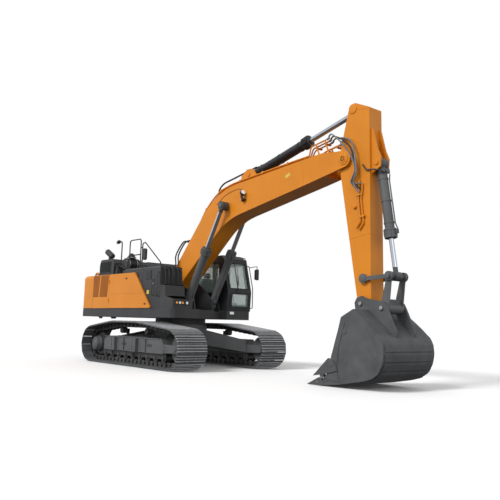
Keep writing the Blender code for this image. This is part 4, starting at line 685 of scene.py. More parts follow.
engineHoses = (
    (0.020, ((-1.45, -1.32, 2.66), (-1.46, -1.36, 2.82), (-1.36, -1.40, 2.92), (-1.20, -1.36, 2.86),
             (-1.02, -1.34, 2.80), (-0.96, -1.30, 2.70))),
    (0.014, ((-1.55, -1.28, 2.66), (-1.56, -1.34, 2.78), (-1.48, -1.38, 2.92), (-1.34, -1.38, 3.02))),
    (0.018, ((-1.72, -1.30, 2.90), (-1.60, -1.38, 2.92), (-1.50, -1.36, 2.80), (-1.46, -1.30, 2.68))))
makePiece("engine_hoses", [tube(curved(path, 6), radius, 8) for radius, path in engineHoses], rubber, "upper", onDeck)
makePiece("filter_bowls", [turned([(0, 0.035), (0.02, 0.055), (0.17, 0.055), (0.19, 0.035)], (x, -1.34, z),
                                  (x, -1.34, 3), 16) for x, z in ((-1.62, 2.66), (-1.02, 2.80))],
          charcoal, "upper", onDeck)

# tanks: seams, latch, rails, blank plate, lock, caps and tread plates
tankY = -1.443
makePiece("tank_panels", [prism([(0.088, 1.64), (0.096, 1.64), (0.096, 2.79), (0.088, 2.79)], tankY - 0.004,
                                tankY + 0.002),
                          block((-0.24, tankY - 0.012, 2.50), (-0.12, tankY, 2.64)),
                          block((0.30, tankY - 0.006, 2.16), (0.62, tankY, 2.168)),
                          block((0.28, tankY - 0.014, 2.44), (0.56, tankY - 0.002, 2.68))],
          black, "upper", onDeck, 0.004)
rails = [tube(bent([(x, tankY, z0), (x, tankY - out, z0), (x, tankY - out, z1), (x, tankY, z1)], 0.03), radius, 8,
              (1, 0.1, 0.1)) for x, z0, z1, out, radius in ((0.70, 1.98, 2.42, 0.05, 0.012),
                                                            (0.98, 1.95, 2.62, 0.06, 0.014))]
makePiece("tank_grab_rails", rails, charcoal, "upper", onDeck)
makePiece("tank_notice_plate", block((0.36, tankY - 0.003, 2.02), (0.47, tankY, 2.13)), plate, "upper", onDeck)
makePiece("tank_lock", sideCap([(0, 0.034), (0.008, 0.034), (0.012, 0.022), (0.016, 0.022)], 0.66, tankY, 2.30, -1, 20),
          zinc, "upper", onDeck)
caps = [turned([(0, 0.085), (0.05, 0.085), (0.065, 0.06)], (x, -1.1, 2.80), (x, -1.1, 4), 24) for x in (-0.45, 0.55)]
caps.append(turned([(0, 0.03), (0.09, 0.03), (0.10, 0.05), (0.15, 0.05), (0.16, 0.02)], (-0.75, -0.85, 2.80),
                   (-0.75, -0.85, 4), 16))
makePiece("tank_caps", caps, black, "upper", onDeck, smooth=30)
dimple = turned([(0, 0.012), (0.004, 0.008)], (0, 0, 0), (0, 0, 1), 8)
spots = [(x, y, 2.805) for x in np.arange(-0.88, 0.95, 0.08) for y in np.arange(-1.31, -0.78, 0.08)
         if min(math.hypot(x + 0.45, y + 1.1), math.hypot(x - 0.55, y + 1.1)) > 0.1]
makePiece("tank_tread_plates", [block((-0.92, -1.36, 2.80), (0.96, -0.76, 2.806)), copies(dimple, spots)],
          charcoal, "upper", onDeck)
spots = [(x, y, z) for x0, z in ((1.09, 2.277), (1.38, 1.949)) for x in np.arange(x0, x0 + 0.2, 0.05)
         for y in np.arange(-1.41, -0.85, 0.05)]
makePiece("step_treads", [block((1.06, -1.44, 2.272), (1.28, -0.83, 2.278)),
                          block((1.34, -1.44, 1.945), (1.68, -0.83, 1.95)), copies(dimple, spots)],
          black, "upper", onDeck)

# tool box front: a flat black sheet with painted shade for a recess, amber and clear lamps on it; mirror and lamp faces
boxFront = onDeck((1.72, 0, 0))[0]
makePiece("lamp_recess", block((boxFront - 0.004, -1.38, 1.70), (boxFront + 0.004, -0.90, 1.84)), black, "upper",
          edge=0.002)
for name, material, profile, places in (
        ("amber_lamps", amber, [(0, 0.030), (0.014, 0.034), (0.022, 0.024)], (-1.32, -1.13)),
        ("clear_lamps", clearLens, [(0, 0.034), (0.014, 0.038), (0.022, 0.026)], (-1.22, -0.99))):
    makePiece(name, [turned(profile, (boxFront + 0.002, y, 1.77), (boxFront + 1, y, 1.77), 16) for y in places],
              material, "upper")
makePiece("right_mirror_face", prism([(-0.05, 3.04), (0.08, 3.04), (0.08, 3.34), (-0.05, 3.34)], -1.365 + 0.028,
                                     -1.365 + 0.032), mirrorGlass, "upper", onDeck)
makePiece("post_lamp_face", turned([(0, 0.052), (0.006, 0.052)], (-1.918, -1.22, 3.701), (-2.2, -1.22, 3.648), 16),
          clearLens, "upper", onDeck)
print("body made")

# cab: gaskets, wiper, lamps, handle and what is seen inside

cab = {"right": 0.63, "left": 1.53, "paneFront": 1.452}
lean = (3.06 - 2.27) * 0.27 / 0.99                       # how far the windshield leans back over its height
front = cab["paneFront"]
gaskets = [tube(bent([(1.467, 0.74, 1.75), (1.473, 1.42, 1.75), (1.475, 1.42, 2.12), (1.475, 0.74, 2.12),
                      (1.467, 0.74, 1.77)], 0.05), 0.010, 6, (1.0, 0.1, 0.1)),
           tube(bent([(front, 0.72, 2.28), (front, 1.44, 2.28), (front - lean, 1.44, 3.05), (front - lean, 0.72, 3.05),
                      (front, 0.72, 2.30)], 0.06), 0.012, 6, (1.0, 0.1, 0.1))]
for y, x1, z0, z1 in ((cab["right"], 1.02, 2.16, 3.05), (cab["left"], 0.20, 2.21, 3.01)):
    gaskets.append(tube(bent([(-0.24, y, z0), (x1, y, z0), (x1, y, z1), (-0.24, y, z1), (-0.24, y, z0 + 0.02)], 0.06),
                        0.010, 6))
makePiece("window_gaskets", gaskets, seal, "upper", onDeck)
doorRing = bent([(x, 1.545, z) for x, z in ((0.40, 1.82), (1.25, 1.82), (1.27, 2.19), (1.06, 3.00), (0.40, 3.00),
                                            (0.40, 1.84))], 0.06)
doorRing[:, 1] = cab["left"] + 0.001
makePiece("door_gasket", tube(doorRing, 0.010, 6), seal, "cab_door", onDeck)
grip = bent([(1.19, 1.53, 2.00), (1.19, 1.575, 2.00), (1.19, 1.575, 2.16), (1.19, 1.53, 2.16)], 0.02)
makePiece("door_handle", tube(grip, 0.011, 8, (1, 0.1, 0.1)), charcoal, "cab_door", onDeck)
wiperArm = curved([(1.475, 0.98, 2.23), (1.455, 1.00, 2.45), (1.40, 1.02, 2.72)], 6) + (0.012, 0, 0)
blade = curved([(1.468, 1.03, 2.36), (1.415, 1.035, 2.62), (1.345, 1.03, 2.92)], 6) + (0.006, 0, 0)
makePiece("wiper", [tube(wiperArm, 0.010, 6), tube(blade, 0.008, 6),
                    turned([(0, 0.03), (0.03, 0.025)], (1.455, 0.98, 2.22), (2, 0.98, 2.22), 12)],
          seal, "upper", onDeck)
makePiece("windshield_bars", prism([(1.415, 2.27), (1.435, 2.27), (1.213, 3.06), (1.193, 3.06)], 1.035, 1.055), black,
          "upper", onDeck)
makePiece("floor_mat", block((1.0, 0.70, 1.685), (1.38, 1.42, 1.70)), rubber, "upper", onDeck, 0.004)
controls = [prism([(1.12, 1.70), (1.15, 1.70), (1.22, 1.86), (1.19, 1.86)], y, y + 0.09) for y in (0.96, 1.10)]
controls += [tube(curved([(1.14, y, 1.72), (1.10, y, 1.95), (1.02, y, 2.16)], 5), 0.012, 8) for y in (1.00, 1.15)]
controls.append(block((1.20, 0.74, 2.12), (1.24, 0.93, 2.32)))
makePiece("cab_controls", controls, plastic, "upper", onDeck, 0.003)
makePiece("lever_knobs", [turned([(0, 0.016), (0.03, 0.028), (0.08, 0.030), (0.11, 0.02)], (0.58, y, 2.36),
                                 (0.60, y, 2.6), 14) for y in (0.75, 1.41)], rubber, "upper", onDeck)
makePiece("roof_hatch", [block((-0.10, 0.80, 3.268), (0.80, 1.36, 3.285)),
                         block((0.93, 0.72, 3.262), (1.06, 1.44, 3.284))], black, "upper", onDeck, 0.006)
lampY = 1.47
makePiece("cab_lamp", [turned([(0, 0.035), (0.03, 0.058), (0.09, 0.062), (0.10, 0.055)], (1.08, lampY, 3.20),
                              (1.30, lampY, 3.18), 18),
                       block((1.03, lampY - 0.015, 3.13), (1.10, lampY + 0.015, 3.22))],
          black, "upper", onDeck, smooth=30)
makePiece("cab_lamp_face", turned([(0, 0.050), (0.005, 0.050)], (1.177, lampY, 3.191), (1.30, lampY, 3.18), 18),
          clearLens, "upper", onDeck)
makePiece("deck_lamp", block((1.46, 0.67, 1.50), (1.512, 0.85, 1.605)), black, "upper", onDeck, 0.006)
makePiece("deck_lamp_face", block((1.510, 0.685, 1.515), (1.518, 0.835, 1.592)), clearLens, "upper", onDeck, 0.004)
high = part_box("cab_handrail")[1]
makePiece("cab_mirror_face", block((high[0] - 0.088, high[1] - 0.125, 2.60), (high[0] - 0.082, high[1] - 0.02, 2.89)),
          mirrorGlass, "upper")
print("cab made")

# boom: pin caps, seams, pipes with clamps, lamp and plate

boomHalf, noseAlong, pipeGap = 0.29, 7.03, 0.062
caps = []
for s in (-1, 1):                                        # caps at the nose pin
    r = 0.145
    caps.append(sideCap([(-0.01, r), (0.012, r), (0.016, r - 0.02), (0.020, 0.09), (0.030, 0.085)], noseAlong,
                        s * boomHalf, 0, s, 28))
    caps.append(bolts([(noseAlong + (r - 0.03) * math.cos(a), s * (boomHalf + 0.012), (r - 0.03) * math.sin(a))
                       for a in circle(6)], (0, s, 0), 0.012))
makePiece("boom_pin_caps", caps, orange, "boom", onBoom, smooth=30)
makePiece("boom_weld_seams", [tube(np.linspace((u0, s * (boomHalf + 0.0005), w0), (u1, s * (boomHalf + 0.0005), w1), 6),
                                   0.0045, 6, (0.9, 0.1, 0.4)) for s in (-1, 1) for u0, w0, u1, w1 in (
    (5.72, 0.10, 5.86, 0.675), (3.42, 0.62, 3.36, 1.40), (1.0, 0.12, 0.62, 0.66))], orange, "boom", onBoom)
# pipes follow the boom's upper edge, a little above the plate
ridge = np.array([(0.55, 0.66), (1.29, 0.98), (1.93, 1.37), (2.59, 1.57), (3.11, 1.535), (3.62, 1.41), (4.77, 1.06),
                  (5.60, 0.80), (6.05, 0.655)]) + (0, 0.028)
makePiece("boom_pipes", [tube(curved(np.insert(ridge[:9 if k < 2 else 6], 1, s * (0.262 - pipeGap * k), axis=1), 8),
                              0.021, 10) for s in (-1, 1) for k in range(3)], orange, "boom", onBoom)
clampAt = ((1.29, 0.98, 0.10), (2.0, 1.40, 0.10), (2.8, 1.575, 0.10), (3.62, 1.41, 0.10), (4.5, 1.142, 0.165),
           (5.4, 0.862, 0.165))
makePiece("boom_pipe_clamps", [block((u - 0.03, s * inner, w - 0.004), (u + 0.03, s * 0.292, w + 0.058))
                               for s in (-1, 1) for u, w, inner in clampAt], orange, "boom", onBoom, 0.004)
# pipe ends rise on two frames before the nose, where the hoses start
risers, frames, ends = [], [], {}
for s in (-1, 1):
    for k, (y, top) in enumerate(((0.262, 0.74), (0.20, 0.70), (0.14, 0.66))):
        ends[(s, k)] = np.array([6.78, s * y, top - 0.02])
        risers.append(tube(bent([(5.95, s * y, 0.70 if k < 2 else 0.69), (6.12, s * y, 0.66),
                                 (6.24, s * y, top + 0.10), ends[(s, k)]], 0.06), 0.019, 10))
    for u, top in ((6.42, 0.86), (6.70, 0.80)):
        frames += [block((u - 0.02, s * 0.272, 0.36), (u + 0.02, s * 0.288, top - 0.07)),
                   block((u - 0.028, s * 0.11, top - 0.19), (u + 0.028, s * 0.288, top - 0.165))]
makePiece("boom_pipe_ends", risers, orange, "boom", onBoom)
makePiece("boom_pipe_frames", frames, orange, "boom", onBoom, 0.003)
makePiece("boom_hose_fittings", [turned([(0, 0.024), (0.02, 0.031), (0.055, 0.031), (0.06, 0.025), (0.09, 0.025)],
                                        end - (0.03, 0, 0), end + (1, 0, 0), 6) for end in ends.values()],
          zinc, "boom", onBoom, smooth=20)
makePiece("boom_lamp", [turned([(0, 0.05), (0.02, 0.078), (0.075, 0.085), (0.085, 0.075)], (3.66, -0.37, 0.985),
                               (3.95, -0.40, 1.0), 20),
                        block((3.60, -0.385, 0.80), (3.66, -0.355, 0.96)),
                        block((3.57, -0.37, 0.80), (3.69, -0.289, 0.83))], black, "boom", onBoom, smooth=30)
makePiece("boom_lamp_face", turned([(0, 0.068), (0.012, 0.062), (0.016, 0.03)], (3.742, -0.3785, 0.99),
                                   (3.95, -0.40, 1.0), 20), clearLens, "boom", onBoom)
makePiece("boom_notice_plate", block((5.23, -0.2925, 0.545), (5.40, -0.2905, 0.625)), plate, "boom", onBoom)
makePiece("lamp_wire", tube(curved([(2.5, -0.293, 1.30), (3.0, -0.294, 1.36), (3.55, -0.294, 1.22),
                                    (3.62, -0.30, 1.05)], 6), 0.006, 6), rubber, "boom", onBoom)

# arm: seams, pipes on both sides, studs

armHalf = 0.215
seams, pipes, clamps = [], [], []
for s in (-1, 1):
    for path in (((-1.10, 0.30), (-1.02, 0.55), (-0.93, 0.85)), ((1.85, -0.17), (1.86, 0.46))):
        seams.append(tube(curved(np.insert(np.array(path), 1, s * (armHalf + 0.0005), axis=1), 5), 0.004, 6,
                          (0.9, 0.1, 0.4)))
    y = s * (armHalf + 0.030)
    for k in range(2):
        w = 0.24 + 0.07 * k
        pipes.append(tube(bent([(0.62 + 0.10 * k, s * (armHalf + 0.035), w + 0.10), (0.80 + 0.1 * k, y, w + 0.06),
                                (1.05, y, w), (1.55 + 0.06 * k, y, w - 0.02), (1.66 + 0.06 * k, y, w - 0.16)], 0.05),
                          0.017, 8))
    clamps += [block((u - 0.02, s * (armHalf - 0.004), 0.20), (u + 0.02, s * (armHalf + 0.055), 0.35))
               for u in (0.95, 1.45)]
makePiece("arm_weld_seams", seams, orange, "arm", onArm)
makePiece("arm_pipes", pipes, orange, "arm", onArm)
makePiece("arm_pipe_clamps", clamps, orange, "arm", onArm, 0.003)
makePiece("arm_studs", [sideCap(profile, u, s * armHalf, w, s, sides) for profile, u, w, sides in (
    ([(0, 0.045), (0.03, 0.045), (0.034, 0.03), (0.05, 0.03)], 1.18, 0.10, 16),
    ([(-0.005, 0.115), (0.012, 0.115), (0.016, 0.10)], -1.09, 0.41, 24)) for s in (-1, 1)],
    orange, "arm", onArm, smooth=30)


# hoses that span a joint, made as one piece fixed in world place

def makeHoses(name, paths, radius, material, start, end, sides=8):
    bundle = makePiece(name, [tube(path, radius, sides) for path in paths], material)
    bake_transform(bundle)


# from the boom's pipe ends in an arc down to the arm
runs = {"arm_hoses_black": [], "arm_hoses_grey": []}
for s in (-1, 1):
    for k in range(3):
        y = s * (0.27 + 0.025 * k)
        points = [onBoom(ends[(s, k)]), onBoom(ends[(s, k)] + (0.16, 0, 0.02)),
                  *(onArm(point) for point in ((-0.20 - 0.05 * k, y, 0.12 + 0.10 * k),
                                               (0.32 + 0.03 * k, y + s * 0.02, 0.30 + 0.03 * k),
                                               (0.62 + 0.02 * k, y, 0.12 + 0.05 * k),
                                               (0.72 + 0.10 * k, s * (armHalf + 0.045), 0.40 - 0.05 * k)))]
        runs["arm_hoses_black" if k == 1 else "arm_hoses_grey"].append(curved(points, 8))
for name, material in (("arm_hoses_black", rubber), ("arm_hoses_grey", sleeve)):
    makeHoses(name, runs[name], 0.020, material, onBoom((6.86, 0, 0.55)), onArm((0.05, 0, 0.35)))
print("boom and arm made")

# cylinders: gland rings and bolts, bands, port blocks, feed pipes and wiper rings

cylinders = {                                            # y, barrel radius, gland distance, body, finish
    "boom_barrel_right": (-0.455, 0.108, 1.81, "boom_barrels", grey),
    "boom_barrel_left": (0.455, 0.108, 1.81, "boom_barrels", grey),
    "arm_barrel": (0.0, 0.125, 2.20, "arm_barrel", black),
    "bucket_barrel": (0.0, 0.106, 1.70, "bucket_barrel", grey)}
onCylinder = {body: planeFrom(pins[body], pins[eye]) for body, eye in (
    ("boom_barrels", "boom_rods"), ("arm_barrel", "arm_rod"), ("bucket_barrel", "bucket_rod"))}
for name, (y, radius, gland, body, finish) in cylinders.items():
    head = radius + 0.024
    rings = [[(gland - 0.205, radius), (gland - 0.20, head + 0.008), (gland - 0.165, head + 0.008),
              (gland - 0.160, head), (gland - 0.055, head), (gland - 0.050, head + 0.006), (gland - 0.004, head + 0.006)]]
    bands = [[(d, radius + 0.001), (d + 0.002, radius + 0.008), (d + 0.04, radius + 0.008), (d + 0.042, radius + 0.001)]
             for d in (0.35, 0.5 * gland, gland - 0.36)]
    shapes = [turned(rings[0], (0, y, 0), (1, y, 0), 28)]
    for a in circle(12, 0.13):
        boltY, boltZ = y + (head + 0.004) * math.sin(a), (head + 0.004) * math.cos(a)
        shapes.append(turned([(0, 0.011), (0.16, 0.011)], (gland - 0.19, boltY, boltZ), (gland, boltY, boltZ), 6))
    shapes += [turned(band, (0, y, 0), (1, y, 0), 28) for band in bands]
    up = -1 if body == "boom_barrels" else 1             # the side on which the pipe runs
    portY = y + (0.03 if y == 0 else -0.03 * np.sign(y))
    shapes += [block((d0, portY - 0.035, up * w0), (d1, portY + 0.035, up * w1)) for d0, d1, w0, w1 in (
        (gland - 0.16, gland - 0.08, head, head + 0.045), (0.16, 0.26, radius - 0.01, radius + 0.05))]
    makePiece(name + "_rings", shapes, finish, body, onCylinder[body], smooth=30)
    makePiece(name + "_pipe", tube(bent([(d, portY, up * w) for d, w in (
        (gland - 0.12, head + 0.03), (gland - 0.12, head + 0.065), (gland - 0.30, radius + 0.03),
        (0.42, radius + 0.03), (0.30, radius + 0.06))], 0.04), 0.015, 8), finish, body, onCylinder[body])
for name, (y, radius, gland, body, finish) in cylinders.items():
    makePiece(name + "_wiper", turned([(gland - 0.01, radius - 0.01), (gland - 0.008, radius), (gland + 0.004, radius),
                                       (gland + 0.006, radius - 0.02)], (0, y, 0), (1, y, 0), 28),
              chainSteel, body, onCylinder[body], smooth=30)

# from the boom's top to the arm cylinder's foot
paths = []
for s, back in ((-1, 0.0), (1, 0.04)):
    start = onBoom((2.62 + back, s * 0.20, 1.58))
    paths.append(curved([start, start + (-0.02, 0, 0.14), start + (0.16, -s * 0.02, 0.30),
                         start + (0.55, -s * 0.05, 0.39), onCylinder["arm_barrel"]((0.20, s * 0.03, 0.165))], 8))
makeHoses("arm_cylinder_hoses", paths, 0.024, rubber, onBoom((2.9, 0, 1.7)),
          onBoom((3.8, 0, 1.7)), 10)
# from the arm's front to the bucket cylinder's head
onBucketCylinder = onCylinder["bucket_barrel"]
paths = [curved([onArm((0.30, s * 0.235, 0.48)), onArm((0.46, s * 0.25, 0.58)), onArm((0.50, s * 0.21, 0.74)),
                 onBucketCylinder((0.24, s * 0.10, 0.10)), onBucketCylinder((0.24, s * 0.03, 0.14))], 8)
         for s in (-1, 1)]
makeHoses("bucket_cylinder_hoses", paths, 0.017, rubber, onArm((0.4, 0, 0.5)),
          onArm((0.5, 0, 0.72)))
# from the valve on the deck round the boom's foot pin; the two on the right bulge behind the boom
shapes = []
for k in range(8):
    y = -0.245 + 0.07 * k
    shapes.append(tube(curved([(-0.42, y * 0.8, 1.92 + 0.02 * (k % 3)), (-0.22, y * 0.85, 1.95),
                               (-0.05 + 0.02 * (k % 2), y * 0.9, 2.12), (-0.12, y, 2.42), (-0.06, y, 2.78),
                               (0.20, y, 3.04), (0.52, y, 3.22)], 8), 0.023, 8))
for k in range(2):
    shapes.append(tube(curved([(-0.40 + 0.1 * k, -0.22, 1.95), (-0.42 + 0.12 * k, -0.33, 2.20),
                               (-0.16 + 0.13 * k, -0.36, 2.40), (0.08 + 0.12 * k, -0.36, 2.62),
                               (0.13 + 0.13 * k, -0.345, 2.95), (0.10 + 0.14 * k, -0.33, 3.25),
                               (0.38 + 0.10 * k, -0.28, 3.62 - 0.02 * k), (0.60 + 0.08 * k, -0.24, 3.62 + 0.04 * k)],
                              8), 0.022, 8))
footHoses = makePiece("boom_foot_hoses", shapes, rubber, place=onDeck)
tuple(onDeck((-0.2, 0, 2.0)))
tuple(onDeck((0.05, 0, 2.85)))
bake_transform(footHoses)
# lines from the valve to the boom cylinders' feet, and down the tank's front
makePiece("deck_hoses", [tube(curved([(-0.45, s * 0.22, 1.76 + 0.06 * k), (-0.10, s * (0.36 + 0.03 * k), 1.70 + 0.03 * k),
                                      (0.35, s * (0.40 + 0.05 * k), 1.70 + 0.04 * k),
                                      (0.62, s * (0.40 + 0.05 * k), 1.86 + 0.05 * k), (0.78, s * 0.44, 1.98 + 0.03 * k)],
                                     7), 0.020, 8) for s in (-1, 1) for k in range(3)], rubber, "upper", onDeck)
shapes = []
for k in range(6):
    y, x, z = -1.34 + 0.10 * k, 1.10 + 0.035 * (k % 3), -0.03 * (k % 2)
    shapes.append(tube(curved([(1.035, y, 2.74 + z), (x, y, 2.72 + z), (x + 0.02, y + 0.01, 2.50),
                               (x, y + 0.02, 2.275)], 6), 0.020, 8))
makePiece("tank_front_hoses", shapes, rubber, "upper", onDeck)
makePiece("deck_hose_clips", [block((0.30, s * 0.38, 1.66), (0.34, s * 0.53, 1.82)) for s in (-1, 1)], zinc, "upper",
          onDeck, 0.003)
print("cylinders and hoses made")

# bucket: wear strips on the back, side plates, pin caps and tooth pins

back = np.array([(0.60, -0.42), (0.92, -0.70), (0.98, -0.84), (1.00, -1.02), (0.96, -1.22), (0.86, -1.40), (0.70, -1.51),
                 (0.45, -1.575), (-0.10, -1.675)])
lengths = np.concatenate([[0], np.cumsum(np.linalg.norm(np.diff(back, axis=0), axis=1))])


# points on the back's outline at distances along it, and the normals there, turned away from its middle
def backAt(s):
    here, ahead, behind = (np.stack([np.interp(s + d, lengths, back[:, 0]), np.interp(s + d, lengths, back[:, 1])], 1)
                           for d in (0, 0.03, -0.03))
    slope = unit(ahead - behind)
    normal = np.stack([-slope[:, 1], slope[:, 0]], 1)
    return here, normal * np.sign(np.sum(normal * (here - back.mean(0)), 1))[:, None]


# a band along the back's outline between two depths
def backBand(s, inner, outer, y0, y1):
    point, normal = backAt(s)
    return prism(np.concatenate([point + inner * normal, (point + outer * normal)[::-1]]), y0, y1)


strips = [backBand(np.linspace(s0 - 0.085, s0 + 0.085, 6), -0.004, 0.024, -0.80, 0.80)
          for s0 in np.linspace(0.62, lengths[-1] - 0.20, 8)]
makePiece("bucket_wear_strips", strips, bucketSteel, "bucket", onBucket, 0.004, wear=0.12)
cheek = [(-0.52, -1.60), (-0.36, -1.10), (-0.20, -0.62), (-0.10, -0.40), (0.0, -0.42), (-0.16, -0.92), (-0.22, -1.40),
         (-0.10, -1.63)]
sides = []
for s in (-1, 1):
    sides += [backBand(np.linspace(0.06, lengths[-1], 26), -0.002, -0.13, s * 0.848, s * 0.866),
              prism(cheek, s * 0.848, s * 0.862)]
makePiece("bucket_side_plates", sides, bucketSteel, "bucket", onBucket, 0.004, wear=0.08)
makePiece("bucket_pin_caps", [sideCap([(0, 0.05), (0.020, 0.05), (0.024, 0.040), (0.032, 0.036)], u, s * 0.352, w, s)
                              for s in (-1, 1) for u, w in ((0.0, 0.0), (0.55, -0.095))], zinc, "bucket", onBucket,
          smooth=30)
marks = [sideCap(profile, u, s * y, w, s, count) for s in (-1, 1) for profile, u, y, w, count in (
    ([(0, 0.06), (0.008, 0.06), (0.010, 0.05)], -0.02, 0.849, -0.60, 20),
    ([(0, 0.035), (0.008, 0.035), (0.010, 0.025)], -0.35, 0.884, -1.30, 16),
    ([(0, 0.025), (0.008, 0.025)], -0.62, 0.884, -1.47, 12))]
makePiece("bucket_bosses", marks, bucketSteel, "bucket", onBucket, smooth=30, wear=0.3)
teeth = []
for y in (-0.85 + 0.09 + 1.52 * k / 4 for k in range(5)):
    teeth += [block((-0.80, y - 0.072, -1.70), (-0.765, y + 0.072, -1.64)),
              turned([(0, 0.016), (0.15, 0.016)], (-0.80, y - 0.075, -1.672), (-0.80, y + 0.075, -1.672), 10)]
makePiece("tooth_pins", teeth, bucketSteel, "bucket", onBucket, wear=0.5)
for name, body, y, r in (("idler_pin_caps", "idler_links", 0.284, 0.075), ("link_pin_caps", "bucket_rod", 0.316, 0.06),
                         ("boom_eye_caps", "boom_rods", 0.537, 0.07)):
    eye = pins[body]
    makePiece(name, [sideCap([(0, r), (0.012, r), (0.016, r - 0.015)], eye[0], eye[1] + s * y, eye[2], s)
                     for s in (-1, 1)], grey, body, smooth=30)
print("bucket made")

# seat: each pad swells from a slightly smaller closed form under pressure, as stuffed cloth does

seat = {"voxel": 0.006, "pressure": 4.0, "frames": 20, "cap": 0.016, "softness": 0.35, "rows": 12, "lean": 98}


# a rounded brick: sine and cosine raised to a small power flatten the ball's sides and round its corners
def padForm(low, high):
    low, high = np.asarray(low, float), np.asarray(high, float)
    u = circle(seat["rows"] * 4)[None, :]
    v = np.linspace(-math.pi / 2 + 0.12, math.pi / 2 - 0.12, seat["rows"])[:, None]

    def soft(values):
        return np.sign(values) * np.abs(values) ** seat["softness"]
    ball = np.stack([soft(np.cos(v)) * soft(np.cos(u)), soft(np.cos(v)) * soft(np.sin(u)),
                     soft(np.sin(v)) * np.ones_like(u)], -1)
    return lofted((low + high) / 2 + ball * (high - low) / 2)


def evaluated(piece):
    return bpy.data.meshes.new_from_object(piece.evaluated_get(bpy.context.evaluated_depsgraph_get()))


def pointsOf(mesh):
    points = np.zeros(len(mesh.vertices) * 3, np.float32)
    mesh.vertices.foreach_get("co", points)
    return points.reshape(-1, 3)


def stuffedPad(name, low, high, place=None, replaced=None):
    piece = makePiece(name, padForm(low, high), cloth, place=place)
    remesh = piece.modifiers.new("remesh", "REMESH")
    remesh.mode, remesh.voxel_size = "VOXEL", seat["voxel"]
    meshed = evaluated(piece)
    piece.modifiers.clear()
    piece.data = meshed
    swell = piece.modifiers.new("swell", "CLOTH")
    swell.settings.use_pressure = True
    swell.settings.uniform_pressure_force = seat["pressure"]
    swell.settings.effector_weights.gravity = 0
    swell.settings.quality = 5
    for step in range(1, seat["frames"] + 1):
        bpy.context.scene.frame_set(step)
    before = pointsOf(meshed)
    shift = pointsOf(evaluated(piece)) - before
    far = np.linalg.norm(shift, axis=1, keepdims=True)
    shift *= np.minimum(1, seat["cap"] / np.maximum(far, 1e-9))
    piece.modifiers.clear()
    bpy.context.scene.frame_set(1)
    meshed.vertices.foreach_set("co", (before + shift).ravel())
    meshed.update()
    meshed.shade_smooth()
    smooth = piece.modifiers.new("round", "SUBSURF")
    smooth.levels = smooth.render_levels = 1
    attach(piece, "upper")
    if replaced:
        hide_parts(replaced)


low, high = (np.array(corner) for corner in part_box("seat_cushion"))
stuffedPad("seat_cushion_pad", low + 0.012, high - 0.012, replaced="seat_cushion")
low, high = (np.array(corner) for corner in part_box("seat_back"))
foot, lean = np.array([high[0] - 0.02, 0, low[2] + 0.02]), math.radians(seat["lean"])
onBack = planeFrom(foot, foot + (math.cos(lean), 0, math.sin(lean)))
stuffedPad("seat_back_pad", (0.012, low[1] + 0.012, -0.002), (0.640, high[1] - 0.012, 0.104), onBack, "seat_back")
stuffedPad("seat_headrest", (0.665, 0.955, 0.022), (0.83, 1.205, 0.102), onBack)
makePiece("headrest_posts", [tube(np.linspace(onBack((0.60, y, 0.055)), onBack((0.72, y, 0.06)), 4), 0.008, 8)
                             for y in (1.03, 1.13)], zinc, "upper")
print("seat made")

# studio: floor, sky, lights, camera

studio = {"floor": 400.0, "floorLow": (0.955, 0.955, 0.957), "sky": 1.0, "overhead": 0.34, "ground": 0.13, "key": 2.2,
          "fill": 0.55}
edge, tone = studio["floor"], studio["floorLow"]
ground = mottled("paleFloor", tone, tuple(0.985 * c + 0.01 for c in tone), (0.75, 0.85), 30.0, 0.0)
floorPoints = np.array([(-edge, -edge, 0), (edge, -edge, 0), (edge, edge, 0), (-edge, edge, 0)]) - (0, 0, 0.002)
floor = makePiece("studio_floor", (floorPoints, np.arange(4), np.array([4])), ground)
floor.visible_diffuse = floor.visible_glossy = False     # the ground's own glow is set in the sky

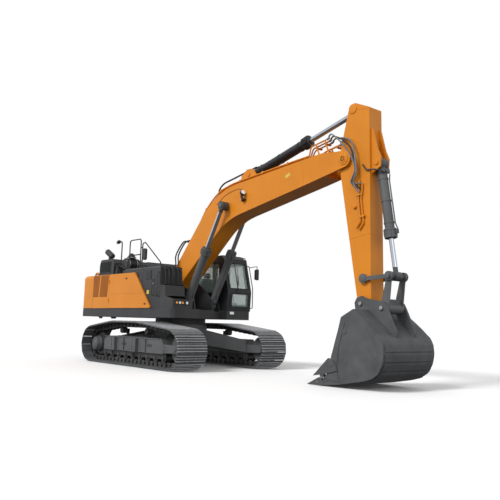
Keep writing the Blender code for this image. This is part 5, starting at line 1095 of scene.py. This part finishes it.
# sky by height: dim ground below the horizon, a white band round the machine, and a dimmer ceiling
world = bpy.data.worlds.new("studioSky")
world.use_nodes = True
skyNodes, skyLink = world.node_tree.nodes, world.node_tree.links.new
heading, height, band, where = (skyNodes.new("ShaderNode" + kind) for kind in (
    "SeparateXYZ", "MapRange", "ValToRGB", "TexCoord"))
height.inputs["From Min"].default_value, height.inputs["From Max"].default_value = -1.0, 1.0
background = skyNodes["Background"]
for source, target in ((where.outputs["Generated"], heading.inputs[0]), (heading.outputs["Z"], height.inputs["Value"]),
                       (height.outputs["Result"], band.inputs["Fac"]),
                       (band.outputs["Color"], background.inputs["Color"])):
    skyLink(source, target)
band.color_ramp.elements[0].position, band.color_ramp.elements[1].position = 0.40, 0.488
band.color_ramp.elements[0].color, band.color_ramp.elements[1].color = rgba([studio["ground"]] * 3), (1, 1, 1, 1)
for position, level in ((0.78, 1.0), (0.88, studio["overhead"])):
    band.color_ramp.elements.new(position).color = rgba([level] * 3)
background.inputs["Strength"].default_value = studio["sky"]
bpy.context.scene.world = world

for name, at, target, strength, spread in (("keyLight", (-2, -14, 14), (0, 0, 1), studio["key"], 18),
                                           ("fillLight", (16, -5, 6), (0, 0, 2), studio["fill"], 40)):
    sun = bpy.data.lights.new(name, "SUN")
    sun.energy, sun.angle = strength, math.radians(spread)
    lamp = bpy.data.objects.new(name, sun)
    toward = (Vector(target) - Vector(at)).to_track_quat("-Z", "Y").to_matrix().to_4x4()
    lamp.matrix_world = Matrix.Translation(at) @ toward
    bpy.context.scene.collection.objects.link(lamp)

view = {"centre": (13.7375, -10.882, 1.251), "yaw": 2.438, "pitch": 0.146, "roll": 0.027, "lens": 45.314136,
        "shift": -0.03701}
level = math.cos(view["pitch"])
forward = Vector((math.cos(view["yaw"]) * level, math.sin(view["yaw"]) * level, math.sin(view["pitch"])))
right = forward.cross(Vector((0, 0, 1))).normalized()
right = right * math.cos(view["roll"]) + right.cross(forward) * math.sin(view["roll"])
lens = bpy.data.cameras.new("camera")
lens.sensor_width, lens.lens, lens.shift_y, lens.clip_end = 36.0, view["lens"], view["shift"], 300
camera = bpy.data.objects.new("camera", lens)
turn = Matrix((right, right.cross(forward), -forward)).transposed().to_4x4()
camera.matrix_world = Matrix.Translation(view["centre"]) @ turn
bpy.context.scene.collection.objects.link(camera)
bpy.context.scene.camera = camera
bpy.context.scene.view_settings.view_transform = "Standard"
print("studio made")
